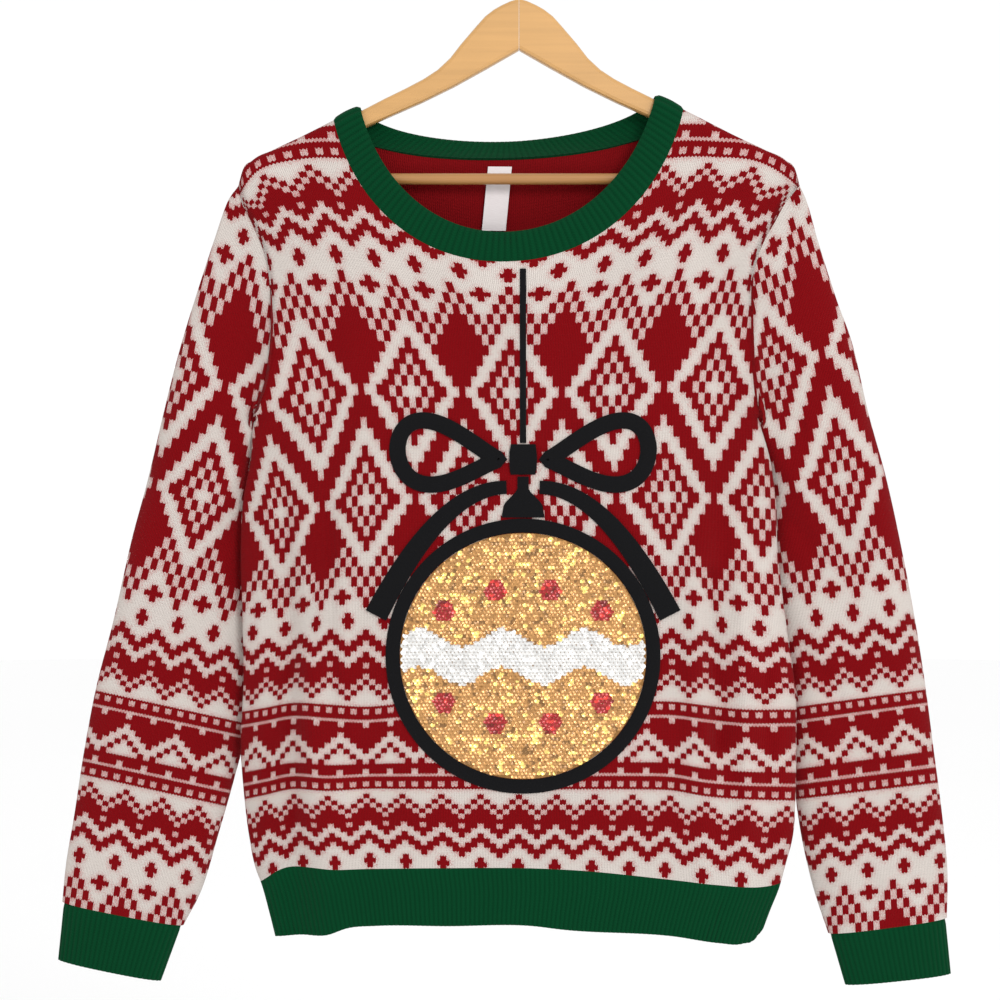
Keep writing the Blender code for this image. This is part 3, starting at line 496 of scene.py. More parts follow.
# ---------------------------------------------------------------- meshes
def mesh_object(name, points, quads, uv, mats, slots=None):
    """An object from points, faces of four corners, and each corner's place in the knit."""
    mesh = bpy.data.meshes.new(name)
    mesh.vertices.add(len(points))
    mesh.vertices.foreach_set("co", (np.asarray(points) * MM).ravel())
    mesh.loops.add(quads.size)
    mesh.loops.foreach_set("vertex_index", quads.ravel().astype(np.int32))
    mesh.polygons.add(len(quads))
    mesh.polygons.foreach_set("loop_start", np.arange(0, quads.size, 4, dtype=np.int32))
    if uv is not None:
        layer = mesh.uv_layers.new(name="knit")
        layer.data.foreach_set("uv", np.asarray(uv, float).ravel())
    for mat in mats:
        mesh.materials.append(mat)
    if slots is not None:
        mesh.polygons.foreach_set("material_index", slots.astype(np.int32))
    mesh.update(calc_edges=True)
    mesh.validate()
    mesh.shade_smooth()
    mesh.set_sharp_from_angle(angle=math.radians(70))
    obj = bpy.data.objects.new(name, mesh)
    bpy.context.scene.collection.objects.link(obj)
    return obj


def grid_quads(rows, cols, stride):
    """Corners (row, column) of a grid's faces, and their point numbers."""
    r, c = np.meshgrid(np.arange(rows - 1), np.arange(cols), indexing="ij")
    rr = np.stack([r, r, r + 1, r + 1], -1).reshape(-1, 4)
    cc = np.stack([c, c + 1, c + 1, c], -1).reshape(-1, 4)
    return rr, cc, rr * stride + cc % stride


def wall(name, outer, inner, mats, knit=None, closed=False):
    """A closed shell between two grids of the same size. The inner side and rims are mats[1].

    knit holds a place in the knit for each outer point, and one more column for a closed ring.
    """
    rows, wide = outer.shape[:2]
    steps = wide if closed else wide - 1
    points = np.concatenate([outer.reshape(-1, 3), inner.reshape(-1, 3)])
    count = rows * wide
    rr, cc, quads = grid_quads(rows, steps, wide)
    a, b, c = (points[quads[:, i]] for i in (0, 1, 3))
    out = a - points[quads[:, 0] + count]
    if np.sum(np.cross(b - a, c - a) * out) < 0:
        quads, rr, cc = quads[:, ::-1], rr[:, ::-1], cc[:, ::-1]
    faces = [quads, quads[:, ::-1] + count]
    corners = [(rr, cc), (rr[:, ::-1], cc[:, ::-1])]
    d, e = np.arange(steps), np.arange(rows - 1)
    rims = [(r, r, d, d + 1, r == 0) for r in (0, rows - 1)]
    if not closed:
        rims += [(e, e + 1, c, c, c > 0) for c in (0, wide - 1)]
    for r1, r2, c1, c2, forward in rims:
        r1, r2, c1, c2 = np.broadcast_arrays(r1, r2, c1, c2)
        rr, cc = together(r1, r2, r2, r1), together(c1, c2, c2, c1)
        rim = rr * wide + cc % wide + [0, 0, count, count]
        way = 1 if forward else -1
        faces.append(rim[:, ::way])
        corners.append((rr[:, ::way], cc[:, ::way]))
    kinds = np.ones(sum(len(part) for part in faces))
    kinds[: len(quads)] = 0
    uv = None
    if knit is not None:
        r, c = (np.concatenate(part) for part in zip(*corners))
        uv = knit[r, c]
    return mesh_object(name, points, np.concatenate(faces), uv, mats, kinds)


def ring_normals(points):
    """The normals of a grid whose rows are rings, all on the same side."""
    round_it = np.roll(points, -1, 1) - np.roll(points, 1, 1)
    along = np.gradient(points, axis=0)
    return unit(np.cross(round_it, along))


def outward(points):
    """The same, turned away from the rings' middles."""
    normal = ring_normals(points)
    axis = points.mean(1, keepdims=True)
    return normal * np.sign(np.sum(normal * (points - axis)))


def even_steps(curve, count, samples=4000):
    """count + 1 values of t from 0 to 1 at equal lengths along curve(t)."""
    t = np.linspace(0, 1, samples)
    length = length_along(curve(t))
    return np.interp(np.linspace(0, length[-1], count + 1), length, t)


# ---------------------------------------------------------------- where the knit lies
def on_plan(points):
    """Where points in millimetres lie in the view's plan: across and down."""
    near = -EYE_Y / (points[..., 1] - EYE_Y) / PLAN_UNIT
    across = PLAN_MIDDLE + (points[..., 0] - EYE_X) * near
    return across, PLAN_MIDDLE + (-points[..., 2] - EYE_DROP) * near


def in_table(table, stitch, row):
    """A body table's value at a stitch and a row."""
    curves = np.array([straight_on(stitch, BODY_STITCHES, line) for line in table.values()])
    return straight_on(row, list(table), curves)


def body_knit(points, sideways, lean_row):
    """Stitch and row of the body's knit at a grid of points, which rise row by row from the hem.

    The tables are searched from a first guess. Where the cloth bends away, near the side seams
    and above lean_row, the knit follows its real length. sideways is -1 and 1 at the side seams.
    """
    across, down = (part.ravel() for part in on_plan(points))
    stitch, row = (across - MIDDLE_ACROSS) / FIRST_STITCH, (down - MIDDLE_DOWN) / FIRST_ROW
    for _ in range(SEARCH_STEPS):
        stitch = stitch + (across - in_table(BODY_ACROSS, stitch, row)) / STEP_STITCH
        row = row + (down - in_table(BODY_DOWN, stitch, row)) / STEP_ROW
    shape = points.shape[:2]
    stitch, row = stitch.reshape(shape), row.reshape(shape)
    step = np.diff(points, axis=1)
    longer = np.linalg.norm(step, axis=2) - np.abs(step[..., 0])
    beside = np.abs(sideways[:, 1:] + sideways[:, :-1]) / 2
    longer = longer * ease((beside - BENDS_FROM) / BENDS_OVER)
    run = np.concatenate([np.zeros((shape[0], 1)), np.cumsum(longer, axis=1)], 1)
    middle = shape[1] // 2
    stitch = stitch + (run - run[:, middle : middle + 1]) / STITCH
    step = np.diff(points[lean_row:], axis=0)
    longer = np.linalg.norm(step, axis=2) - np.linalg.norm(step[..., [0, 2]], axis=2)
    row[lean_row + 1 :] -= np.cumsum(longer, axis=0) / ROW
    return np.stack([stitch, row], -1)


# ---------------------------------------------------------------- the cloth
# Where a panel's columns stand along a shoulder and round the neck, and its rows up the armhole.
SHOULDER_STEPS = np.array([0.0, 0.05, 0.15, 0.32, 0.54, 0.77])
HALF_NECK = [0.0, 0.007, 0.019, 0.042, 0.085, 0.14, 0.20, 0.27, 0.345, 0.42]
NECK_TURNS = np.array(HALF_NECK + [0.5] + [1 - t for t in reversed(HALF_NECK)])
ARMHOLE_ROWS = np.array([0.0, 0.06, 0.15, 0.27, 0.41, 0.56, 0.70, 0.82, 0.90, 0.955, 0.985, 1.0])
COLUMN_SPLIT = 6  # fine steps for each of these
ROW_SPLIT = 6
BODY_ROWS = 90  # below the underarm
LEAN_ROW = 5  # the armhole row from which the cloth leans back to the shoulder
SLEEVE_RINGS = 120
TUCK = 1.2  # how far a band's first row lies under the cloth above it
SEAM_DIP = 0.6  # how far the cloth dips at an armhole's seam
SEAM_WIDTH = 3.8
SEAM_ENDS = 12.0  # the dip fades over this length at the underarm and the shoulder


def panel_places(panel):
    """across and drop of a panel's grid, from the hem up."""
    x, drop = neck_curve(panel + "_seam", finer(NECK_TURNS, COLUMN_SPLIT))
    steps = finer(np.append(SHOULDER_STEPS, 1.0), COLUMN_SPLIT)[:-1]
    tip = RIDGE_LINE.x[-1]
    left = -tip + (x[0] + tip) * steps
    right = tip + (x[-1] - tip) * steps[::-1]
    x = np.concatenate([left, x, right])
    top = np.concatenate([ridge(left), drop, ridge(right)])
    across = np.clip(across_at(x, top), -1, 1)
    across[0], across[-1] = -1, 1
    hem = smooth(across, HEM_LINE.across, HEM_LINE.seam) - GAP
    low = [hem + (UNDERARM_DROP - hem) * i / BODY_ROWS for i in range(BODY_ROWS)]
    high = [UNDERARM_DROP + (top - UNDERARM_DROP) * f for f in finer(ARMHOLE_ROWS, ROW_SPLIT)]
    drops = np.array(low + high)
    return np.broadcast_to(across, drops.shape), drops, len(steps)


def groove(away):
    """How deep the cloth dips beside a seam."""
    return SEAM_DIP * np.exp(-((away / SEAM_WIDTH) ** 2))


def beside_armhole(drops):
    """1 between the underarm and the shoulder, and 0 beyond them."""
    return ease((UNDERARM_DROP - drops) / SEAM_ENDS) * ease((drops - SHOULDER_DROP) / SEAM_ENDS)


def make_panel(panel, mats):
    """The front or back panel, open at its side edges, with the armholes in them."""
    across, drops, shoulder = panel_places(panel)
    outer = body_point(panel, across, drops)
    sign = -1 if panel == "front" else 1
    away = np.minimum(*(np.abs(outer[..., 0] - outer[:, end, 0, None]) for end in (0, -1)))
    outer[..., 1] -= sign * groove(away) * beside_armhole(drops)
    normal = body_normal(panel, across, drops)
    for edge, side in ((np.s_[:, 0], -1), (np.s_[:, -1], 1)):
        normal[edge][:BODY_ROWS] = (side, 0, 0)
        toward = normal[edge][BODY_ROWS:, 0] * side
        normal[edge][BODY_ROWS:, 0] = side * np.maximum(toward, 0)
    ends = np.r_[0 : shoulder + 1, -shoulder - 1 : 0]
    normal[-1, ends, 1] = 0
    inner = outer - WALL * unit(normal)
    knit = body_knit(outer, across, BODY_ROWS + LEAN_ROW * ROW_SPLIT)
    return wall(panel + "_cloth", outer, inner, mats, knit)


def rib_wave(count, closed):
    """The height of a rib's surface across count ribs, 0 in a valley and 1 on a crest."""
    at = np.arange(count * RIB_STEPS + (0 if closed else 1)) / RIB_STEPS
    return np.sqrt(np.abs(np.sin(np.pi * at)))


def band_rows(rows):
    """Places down a band. The first one is tucked under the cloth above it."""
    return np.append(-0.05, np.linspace(0, 1, rows - 1))[:, None]


def ribbed(name, base, normal, wave, mats, closed, knit, folded=False):
    """A rib band over a smooth base grid. folded rounds its last edge, like a turned-back band."""
    t = band_rows(len(base))
    rise = RIB * wave * ease(t / RIB_FADES + 0.2)
    thick = np.full(t.shape, WALL)
    sunk = np.where(t < 0, TUCK, 0.0)
    if folded:
        edge = np.clip((t - 1 + RIB_FADES) / RIB_FADES, 0, 1)
        turned = 0.42 * WALL * (1 - swollen(edge, 2))
        thick = thick - 2 * turned
        sunk = sunk + turned
        rise = rise * (1 - 0.7 * edge)
        thick = thick + 0.6 * rise * (t > 0)
    outer = base + (rise - sunk)[..., None] * normal
    inner = base - (sunk + thick)[..., None] * normal
    return wall(name, outer, inner, mats, knit, closed)


def make_hem(panel, mats, rows=10):
    """The rib band below a panel."""
    across = np.linspace(-1, 1, HEM_RIBS * RIB_STEPS + 1)
    seam = smooth(across, HEM_LINE.across, HEM_LINE.seam)
    bottom = smooth(across, HEM_LINE.across, HEM_LINE.bottom)
    t = band_rows(rows)
    drops = seam + (bottom - seam) * t
    places = np.broadcast_to(across, drops.shape)
    base = body_point(panel, places, drops)
    normal = body_normal(panel, places, drops)
    normal[:, 0], normal[:, -1] = (-1, 0, 0), (1, 0, 0)
    wave = RELAXED * rib_wave(HEM_RIBS, closed=False)
    knit = together((places + 1) / 2 * HEM_RIBS, (drops - seam) / ROW)
    return ribbed("hem_" + panel, base, normal, wave, mats, False, knit)


def make_neck(mats, rows=12):
    """The neckband: ribs across it, from its seam to its free edge, all round the neck."""
    seams, frees = [], []
    for panel, count in (("front", NECK_RIBS_FRONT), ("back", NECK_RIBS_BACK)):

        def edge(t, name="_seam", panel=panel):
            x, drop = neck_curve(panel + name, t)
            return body_point(panel, across_at(x, drop), drop)

        turns = even_steps(edge, count * RIB_STEPS)
        seam, free = edge(turns), edge(turns, "_edge")
        if panel == "back":
            free[:, 1] += BACK_NECK_LEAN * np.sin(np.pi * turns) ** 1.5
            seam, free = seam[::-1], free[::-1]
        seams.append(seam[:-1])
        frees.append(free[:-1])
    seam, free = np.concatenate(seams), np.concatenate(frees)
    t = band_rows(rows)[..., None]
    base = seam + (free - seam) * t
    normal = ring_normals(base)
    front = normal[:, : NECK_RIBS_FRONT * RIB_STEPS, 1].mean()
    normal = normal * (1 if front < 0 else -1)
    base = base + NECK_CROWN * 4 * t * (1 - t) * normal
    ribs = NECK_RIBS_FRONT + NECK_RIBS_BACK
    wave = rib_wave(ribs, closed=True)
    around = np.arange(ribs * RIB_STEPS + 1) / RIB_STEPS
    width = np.linalg.norm(free - seam, axis=1).mean()
    knit = together(around, t[..., 0] * width / ROW)
    return ribbed("neckband", base, normal, wave, mats, True, knit, folded=True)


def armhole_ring(side):
    """The armhole's outline: underarm, up the front, shoulder, down the back."""
    across = -1.0 if side == "left" else 1.0
    shares = finer(ARMHOLE_ROWS, ROW_SPLIT)
    drops = UNDERARM_DROP + (SHOULDER_DROP - UNDERARM_DROP) * shares
    front = body_point("front", across, drops)
    back = body_point("back", across, drops)
    dip = SEAM_DIP * beside_armhole(drops)
    front[:, 1] += dip
    back[:, 1] -= dip
    middle = (front + back) / 2
    ring = np.concatenate([middle[:1], front[1:-1], middle[-1:], back[1:-1][::-1]])
    return ring, len(shares) - 1


def sleeve_sections(side, ring):
    """The rows of the sleeve's table at evenly spread rings, the armhole first."""
    rows = columns(SLEEVE_COLUMNS, SLEEVES[side])
    count = len(rows.depth)
    top = ring[len(ring) // 2]
    first = (top[0], -top[2], ring[0][0], -ring[0][2], SLEEVE_TOP_DEPTH, 0, ring[0][1])
    at = np.linspace(0, 1, SLEEVE_RINGS)
    at = count * (at - 0.8 * at * (1 - at) ** 9)  # closer rings beside the armhole
    values = []
    for start, name in zip(first, SLEEVE_COLUMNS.split()):
        values.append(smooth(at, np.arange(count + 1), np.append(start, getattr(rows, name))))
    return at, np.array(values).T


def width_line(section):
    """A section's middle and the half of its width from there to the outer edge, in x and z."""
    outer_x, outer_drop, inner_x, inner_drop = section[:4]
    middle = np.array([(outer_x + inner_x) / 2, -(outer_drop + inner_drop) / 2])
    return middle, np.array([(outer_x - inner_x) / 2, -(outer_drop - inner_drop) / 2])


def ring_points(section, place_on, face, own, share):
    """A section's outline. place_on is -1 at its inner edge and 1 at its outer one.

    own is the armhole's outline off that line, forward and along, and share fades it out.
    """
    depth, outer_y, inner_y = section[4:]
    middle, half = width_line(section)
    across = np.array([half[1], -half[0]]) / np.hypot(*half)
    swell = face * depth / 2 * swollen(place_on, SLEEVE_POWER)
    swell = (1 - share) * own[0] + share * swell
    bend = (1 - share) * own[1]
    flat = middle + place_on[:, None] * half + bend[:, None] * across
    y = (inner_y + outer_y) / 2 + place_on * (outer_y - inner_y) / 2 + swell
    return np.stack([flat[:, 0], y, flat[:, 1]], 1)


def sleeve_grid(side):
    """A sleeve's rings from the armhole down, and where each point stands on them."""
    ring, steps = armhole_ring(side)
    at, sections = sleeve_sections(side, ring)
    middle, half = width_line(sections[0])
    length = np.hypot(*half)
    rel = ring[:, [0, 2]] - middle
    place_on = rel @ half / length**2
    bend = rel @ np.array([half[1], -half[0]]) / length
    chord_y = ring[0][1] / 2 - place_on * ring[0][1] / 2
    own = (ring[:, 1] - chord_y, bend)
    face = np.where(np.arange(2 * steps) < steps, -1, 1)
    rings = [ring]
    for t, section in zip(at[1:], sections[1:]):
        share = float(ease(t / BLEND_RINGS))
        rings.append(ring_points(section, place_on, face, own, share))
    return np.array(rings), at / at[-1], place_on, face


def fold_sleeve(points, normal, along, place_on, face):
    """The sleeve's points with its folds, and with the dip at the armhole's seam."""
    along = along[:, None]
    across = place_on[None] * SLEEVE_ASPECT
    for name, along1, across1, along2, across2, width, out in SLEEVE_FOLDS[1]:
        line = (along1, across1 * SLEEVE_ASPECT, along2, across2 * SLEEVE_ASPECT)
        here = near_line(along, across, *line, width)
        here = here * (face == (-1 if name == "front" else 1)) * (1 - np.abs(place_on) ** 4)
        here = here * ease(along / 0.1) * ease((1 - along) / 0.08)
        points = points + (out * here)[..., None] * normal
    away = np.linalg.norm(points - points[0], axis=2)
    dip = groove(away) * (away > 0) * (1 - np.abs(place_on) ** 6)
    return points - dip[..., None] * normal


def sleeve_knit(side, points, place_on):
    """Stitch and row at each point of a sleeve's rings, and at each ring's first point again.

    A row is a straight line on the plan, and a point's row lies between the lines above and below
    it. Stitches follow the cloth's real length from the front's middle on, round the outer edge
    and along the back.
    """
    rows, x, y, fall, step = (np.array(c, float) for c in zip(*SLEEVE_KNIT[side]))
    ring = np.concatenate([points, points[:, :1]], 1)
    across, down = on_plan(ring)
    fine = np.arange(*SLEEVE_ROWS)
    x, y, fall, step = (straight_on(fine, rows, c) for c in (x, y, fall, step))
    above = down[..., None] - y - fall * (across[..., None] - x)
    count = np.sum(above > 0, -1)
    low = np.clip(count - 1, 0, len(fine) - 2)
    first = np.take_along_axis(above, low[..., None], -1)[..., 0]
    second = np.take_along_axis(above, low[..., None] + 1, -1)[..., 0]
    row = fine[low] + first / np.maximum(first - second, 1e-6)
    shown = SLEEVE_STITCH[side] + (across - np.interp(row, fine, x)) / np.interp(row, fine, step)
    outer = int(np.argmax(place_on))
    out = -1 if side == "left" else 1
    run = np.cumsum(np.linalg.norm(np.diff(ring, axis=1), axis=2), axis=1)
    run = np.abs(np.concatenate([np.zeros((len(run), 1)), run], 1) - run[:, outer - 1, None])
    flat = np.linalg.norm((ring - ring[:, outer : outer + 1])[..., [0, 2]], axis=2)
    longer = np.maximum(run - flat, 0) / STITCH
    at_middle = longer[:, outer // 2, None]
    front = shown + out * (at_middle - longer)
    edge_row, edge_stitch = row[:, outer], shown[:, outer]
    edge = straight_on(row.ravel(), *monotone(edge_row, edge_stitch)).reshape(row.shape)
    back = 2 * edge - shown + out * (at_middle + longer)
    stitch = np.where(np.arange(ring.shape[1]) <= outer, front, back)
    return np.stack([stitch, row], -1)


def monotone(xs, ys):
    """The pairs in rising order, without those that turn back."""
    keep = np.concatenate([[True], xs[1:] > np.maximum.accumulate(xs)[:-1] + 1e-6])
    return xs[keep], ys[keep]


def make_sleeve(side, mats):
    """A sleeve, and the ring of points at its end, where the cuff begins."""
    points, along, place_on, face = sleeve_grid(side)
    normal = outward(points)
    points = fold_sleeve(points, normal, along, place_on, face)
    knit = sleeve_knit(side, points, place_on)
    normal = outward(points)
    toward_body = 1 if side == "left" else -1
    normal[0, :, 0] = toward_body * np.maximum(normal[0, :, 0] * toward_body, 0)
    normal[0] = unit(normal[0])
    inner = points - WALL * normal
    obj = wall("sleeve_cloth_" + side, points, inner, mats, knit, closed=True)
    return obj, points[-1]


def make_cuff(side, seam, mats, rows=12):
    """The cuff below a sleeve. Its seam lies inside the sleeve's own end."""
    count = CUFF_RIBS * RIB_STEPS
    closed_ring = np.concatenate([seam, seam[:1]])
    length = length_along(closed_ring)
    half_way = length[len(seam) // 2]
    front = np.linspace(0, half_way, count // 2, endpoint=False)
    back = np.linspace(half_way, length[-1], count // 2, endpoint=False)
    at = np.concatenate([front, back])
    top = np.stack([np.interp(at, length, closed_ring[:, i]) for i in range(3)], 1)
    centre = top.mean(0)
    middle, half = width_line(CUFF_ENDS[side])
    low_centre = np.insert(middle, 1, CUFF_END_Y)
    axis = unit(low_centre - centre)
    top_half = seam[len(seam) // 2] - seam[0]
    place_on = (top - centre) @ unit(top_half)
    place_on = place_on / np.abs(place_on).max()
    face = np.where(np.arange(count) < count // 2, -1, 1)
    low = low_centre + place_on[:, None] * np.insert(half, 1, 0)
    low[:, 1] += face * CUFF_END_DEPTH / 2 * swollen(place_on, CUFF_POWER)
    top = centre + (top - centre) * [CUFF_TOP_WIDTH, 1, CUFF_TOP_WIDTH] + GAP * axis
    t = band_rows(rows)[..., None]
    base = top + (low - top) * t
    normal = outward(base)
    wave = RELAXED * rib_wave(CUFF_RIBS, closed=True)
    around = np.arange(count + 1) / RIB_STEPS
    knit = together(around, t[..., 0] * CUFF_LENGTH / ROW)
    return ribbed("cuff_rib_" + side, base, normal, wave, mats, True, knit)


# ---------------------------------------------------------------- numbers in materials
def operator(operation):
    """A method that adds one node, which works on the number and on what it is given."""

    def method(self, *others):
        return self.math(operation, *others)

    return method


class Value:
    """A number that a material works out from its nodes, with ordinary arithmetic."""

    def __init__(self, tree, socket):
        self.tree, self.socket = tree, socket

    def math(self, operation, *others, first=None):
        """The outcome of one math node. first is what comes before the number itself."""
        node = self.tree.nodes.new("ShaderNodeMath")
        node.operation = operation
        given = [self, *others] if first is None else [first, self]
        for slot, value in zip(node.inputs, given):
            if isinstance(value, Value):
                self.tree.links.new(value.socket, slot)
            else:
                slot.default_value = value
        return Value(self.tree, node.outputs[0])

    __add__ = __radd__ = operator("ADD")
    __sub__ = operator("SUBTRACT")
    __mul__ = __rmul__ = __and__ = operator("MULTIPLY")
    __mod__ = operator("FLOORED_MODULO")
    __abs__ = operator("ABSOLUTE")
    __lt__ = operator("LESS_THAN")
    __gt__ = operator("GREATER_THAN")
    __or__ = operator("MAXIMUM")
    floor = operator("FLOOR")
    sine = operator("SINE")

    def __rsub__(self, other):
        return self.math("SUBTRACT", first=other)

    def no(self):
        return 1 - self

    def power_of(self, base):
        return self.math("POWER", first=base)


# Rows of four stitches each from the middle of a diamond zone out: # is red and . is ivory, from
# a small diamond's middle column to the middle between two.
ZONE = """...###...
....###..
.....###.
......###
.......##
........#
.......##
......###
.....####
....#####
...#.####
..#.#.###
.#.#.#.##
#.#...#.#
.#.....#.
#.......#""".split()
PERIOD = 228  # rows after which the chart repeats
# Rows of the motifs, counted both ways from the middle of a diamond zone.
DIAMOND = 20
CROSSES = 58
ZONE_END = 62
LOZENGES = 67
ZIGZAG, ZIGZAG_HALF = 83, 13
BAND = 100
TICKS = 105
HEARTS = 108


def row_code(text):
    """A row of stitches as one whole number."""
    return sum(2**i for i, mark in enumerate(text) if mark == "#")


def knit_chart(stitch, row):
    """1 where the knit is red and 0 where it is ivory.

    stitch counts from the middle column and row counts down from the upper diamonds' middle.
    Every stitch is a small V, so that its middle sits lower than its sides.
    """
    leg = abs(stitch % 1 - 0.5) * 2
    row = row + (leg - 0.5) * SLANT
    cell = ((stitch + 1) * 0.5).floor()
    phase = (row - DIAMOND) % PERIOD
    m = abs((phase + PERIOD / 2) % PERIOD - PERIOD / 2)
    below = phase < PERIOD / 2
    u = abs((cell + 8) % 16 - 8)
    u = u + below * (8 - 2 * u)

    # The diamonds' ground: chequers that run together into a large diamond, and its frame.
    code = None
    last = row_code(ZONE[0])
    for k, text in enumerate(ZONE[1:]):
        step = (m > 4 * k + 2) * (row_code(text) - last)
        code = step + last if code is None else code + step
        last = row_code(text)
    ground = ((code + 0.5) * u.power_of(0.5)).floor() % 2
    q = abs(m - DIAMOND)
    wide = ((DIAMOND - 0.01 - q) * 0.25).floor() + (q < 2)
    j = ((q + 2) * 0.25).floor()
    inside = (u < wide + 0.5) & (m < 2 * DIAMOND)
    dots = (((u + j) % 2 > 0.5) & (u + j < 3.5)) | ((u + j) < 0.5)
    zone = (inside & dots.no()) | (inside.no() & ground)
    zone = zone & (m < ZONE_END)

    # Small crosses, lozenges and the zigzag.
    d8 = abs(cell % 8 - 4)
    cross = ((d8 < 0.5) & (abs(m - CROSSES) < 3)) | ((d8 < 1.5) & (abs(m - CROSSES) < 1))
    aside = below * 6  # half a repeat, below a zone's middle
    e = abs((stitch + 6 + aside) % 12 - 6)
    lozenge = (abs(m - LOZENGES) < 3) & (e < 1 + (abs(m - LOZENGES) < 1))
    v = ((ZIGZAG + ZIGZAG_HALF - m) * 0.5).floor()
    d6 = abs((cell + 3 + aside * 0.5) % 6 - 3)
    t = v - d6
    zigzag = (t > -0.5) & (t < 9.5) & (abs(t - 1) > 0.5) & (abs(t - 6.5) > 1)
    zigzag = zigzag & ((d6 > 2.5) & (abs(t - 3) < 0.5)).no() & (abs(m - ZIGZAG) < ZIGZAG_HALF)

    # A dotted band and a row of hearts.
    even = cell % 2 < 0.5
    fourth = cell % 4 < 0.5
    band = (abs(m - (BAND + 0.5)) < 2.5) & ((abs(m - BAND) < 1) & even).no()
    ticks = (abs(m - (TICKS + 1)) < 2) & ((abs(m - TICKS) < 1) & fourth).no()
    down = ((row - (DIAMOND + HEARTS)) % PERIOD * 0.5).floor()
    heart = (down < d8) | (abs(down - d8 - 2) < 0.5)
    heart = heart & (m > HEARTS)
    return zone | cross | lozenge | zigzag | band | ticks | heart


# ---------------------------------------------------------------- materials
IVORY = (0.615, 0.555, 0.512)
FLOAT = (0.43, 0.082, 0.085)  # where the red yarn behind shows between ivory stitches
FLOAT_STITCHES, FLOAT_ROWS = 7.0, 8.0  # over how many stitches and rows beside red ones it does
RED = (0.195, 0.0010, 0.0032)
INSIDE_RED = (0.178, 0.0028, 0.0046)
GREEN = (0.0, 0.0405, 0.0125)
BLACK = (0.0025, 0.0025, 0.003)
GOLD = (0.54, 0.270, 0.086)
PALE = (0.75, 0.74, 0.72)
BRIGHT_RED = (0.36, 0.007, 0.009)
BEECH = (0.595, 0.325, 0.108)
# The bar's beech: a darker copy of BEECH, as painted shade.
BAR_BEECH_PAINTED_SHADE = (0.415, 0.195, 0.057)
ARM_SLOPE = math.atan2(60.4, 120.0)  # a hanger arm's fall and run


def new_material(name, **settings):
    """A material, its node tree and its shader, with the shader's own values set."""
    mat = bpy.data.materials.new(name)
    mat.use_nodes = True
    shader = mat.node_tree.nodes["Principled BSDF"]
    for key, value in settings.items():
        shader.inputs[key.replace("_", " ")].default_value = value
    return mat, mat.node_tree, shader


def two_of(tree, socket):
    """The first two numbers of a place or a colour."""
    split = tree.nodes.new("ShaderNodeSeparateXYZ")
    tree.links.new(socket, split.inputs[0])
    return Value(tree, split.outputs[0]), Value(tree, split.outputs[1])


def knit_place(tree):
    """The knit's two coordinates, as numbers."""
    uv = tree.nodes.new("ShaderNodeUVMap")
    uv.uv_map = "knit"
    return two_of(tree, uv.outputs[0])


def object_place(tree, scale=(1, 1, 1)):
    """The piece's own coordinates, stretched."""
    where = tree.nodes.new("ShaderNodeTexCoord")
    mapping = tree.nodes.new("ShaderNodeMapping")
    mapping.inputs["Scale"].default_value = scale
    tree.links.new(where.outputs["Object"], mapping.inputs[0])
    return mapping.outputs[0]


def noise(tree, scale, detail=2.0, place_on=None):
    """A noise from 0 to 1 over the piece's own coordinates."""
    node = tree.nodes.new("ShaderNodeTexNoise")
    node.inputs["Scale"].default_value = scale
    node.inputs["Detail"].default_value = detail
    tree.links.new(place_on or object_place(tree), node.inputs["Vector"])
    return Value(tree, node.outputs[0])


def mixed(tree, share, low, high):
    """A colour between two others, which are colours or sockets."""
    node = tree.nodes.new("ShaderNodeMix")
    node.data_type = "RGBA"
    tree.links.new(share.socket, node.inputs["Factor"])
    for slot, value in ((node.inputs[6], low), (node.inputs[7], high)):
        if isinstance(value, bpy.types.NodeSocket):
            tree.links.new(value, slot)
        else:
            slot.default_value = (*value, 1)
    return node.outputs[2]


def shaded(colour, factor):
    """A colour made darker, or lighter past 1."""
    return tuple(c * factor for c in colour)


def surface(tree, shader, colours, height, distance):
    """Gives a shader its colours and its relief."""
    tree.links.new(colours, shader.inputs["Base Color"])
    bump = tree.nodes.new("ShaderNodeBump")
    bump.inputs["Distance"].default_value = distance
    tree.links.new(height.socket, bump.inputs["Height"])
    tree.links.new(bump.outputs[0], shader.inputs["Normal"])


def stitch_relief(stitch, row):
    """The height of a knitted surface: two slanting legs to a stitch."""
    leg = abs(stitch % 1 - 0.5) * 2
    across = (leg * math.pi).sine()
    slanted = row + (leg - 0.5) * SLANT
    down = ((slanted % 1) * math.pi).sine()
    return across * (down * 0.6 + 0.4)


YARN = dict(Roughness=0.95, Sheen_Weight=0.02, Sheen_Roughness=0.6, Specular_IOR_Level=0.05)


def jacquard():
    """Ivory and red yarn in the chart's stitches. Near the red ones, some red shows through."""
    mat, tree, shader = new_material("jacquard_knit", **YARN)
    stitch, row = knit_place(tree)
    height = stitch_relief(stitch, row)
    red = knit_chart(stitch, row)
    aside = noise(tree, 2600.0, 0.0).socket.node.outputs["Color"]
    sideways, upward = two_of(tree, aside)
    behind = knit_chart(
        stitch + sideways * FLOAT_STITCHES - FLOAT_STITCHES / 2,
        row + upward * FLOAT_ROWS - FLOAT_ROWS / 2,
    )
    fleck = noise(tree, 900.0, 1.0)
    cloud = noise(tree, 14.0, 2.0)
    # light and share darken the yarn where the stitch relief is low: painted shade between the
    # stitches' legs, with random flecks and clouds of tone on top.
    light = height * 0.30 + 0.68
    share = (light + fleck * 0.16 + cloud * 0.20 - 0.16).math("MINIMUM", 1.0)
    ivory = mixed(tree, behind, IVORY, FLOAT)
    # shaded(IVORY, 0.45) and shaded(RED, 0.35) are the darkest of that painted shade.
    ivory = mixed(tree, share, shaded(IVORY, 0.45), ivory)
    crimson = mixed(tree, share, shaded(RED, 0.35), RED)
    surface(tree, shader, mixed(tree, red, ivory, crimson), height + fleck * 0.15, 0.0005)
    return mat


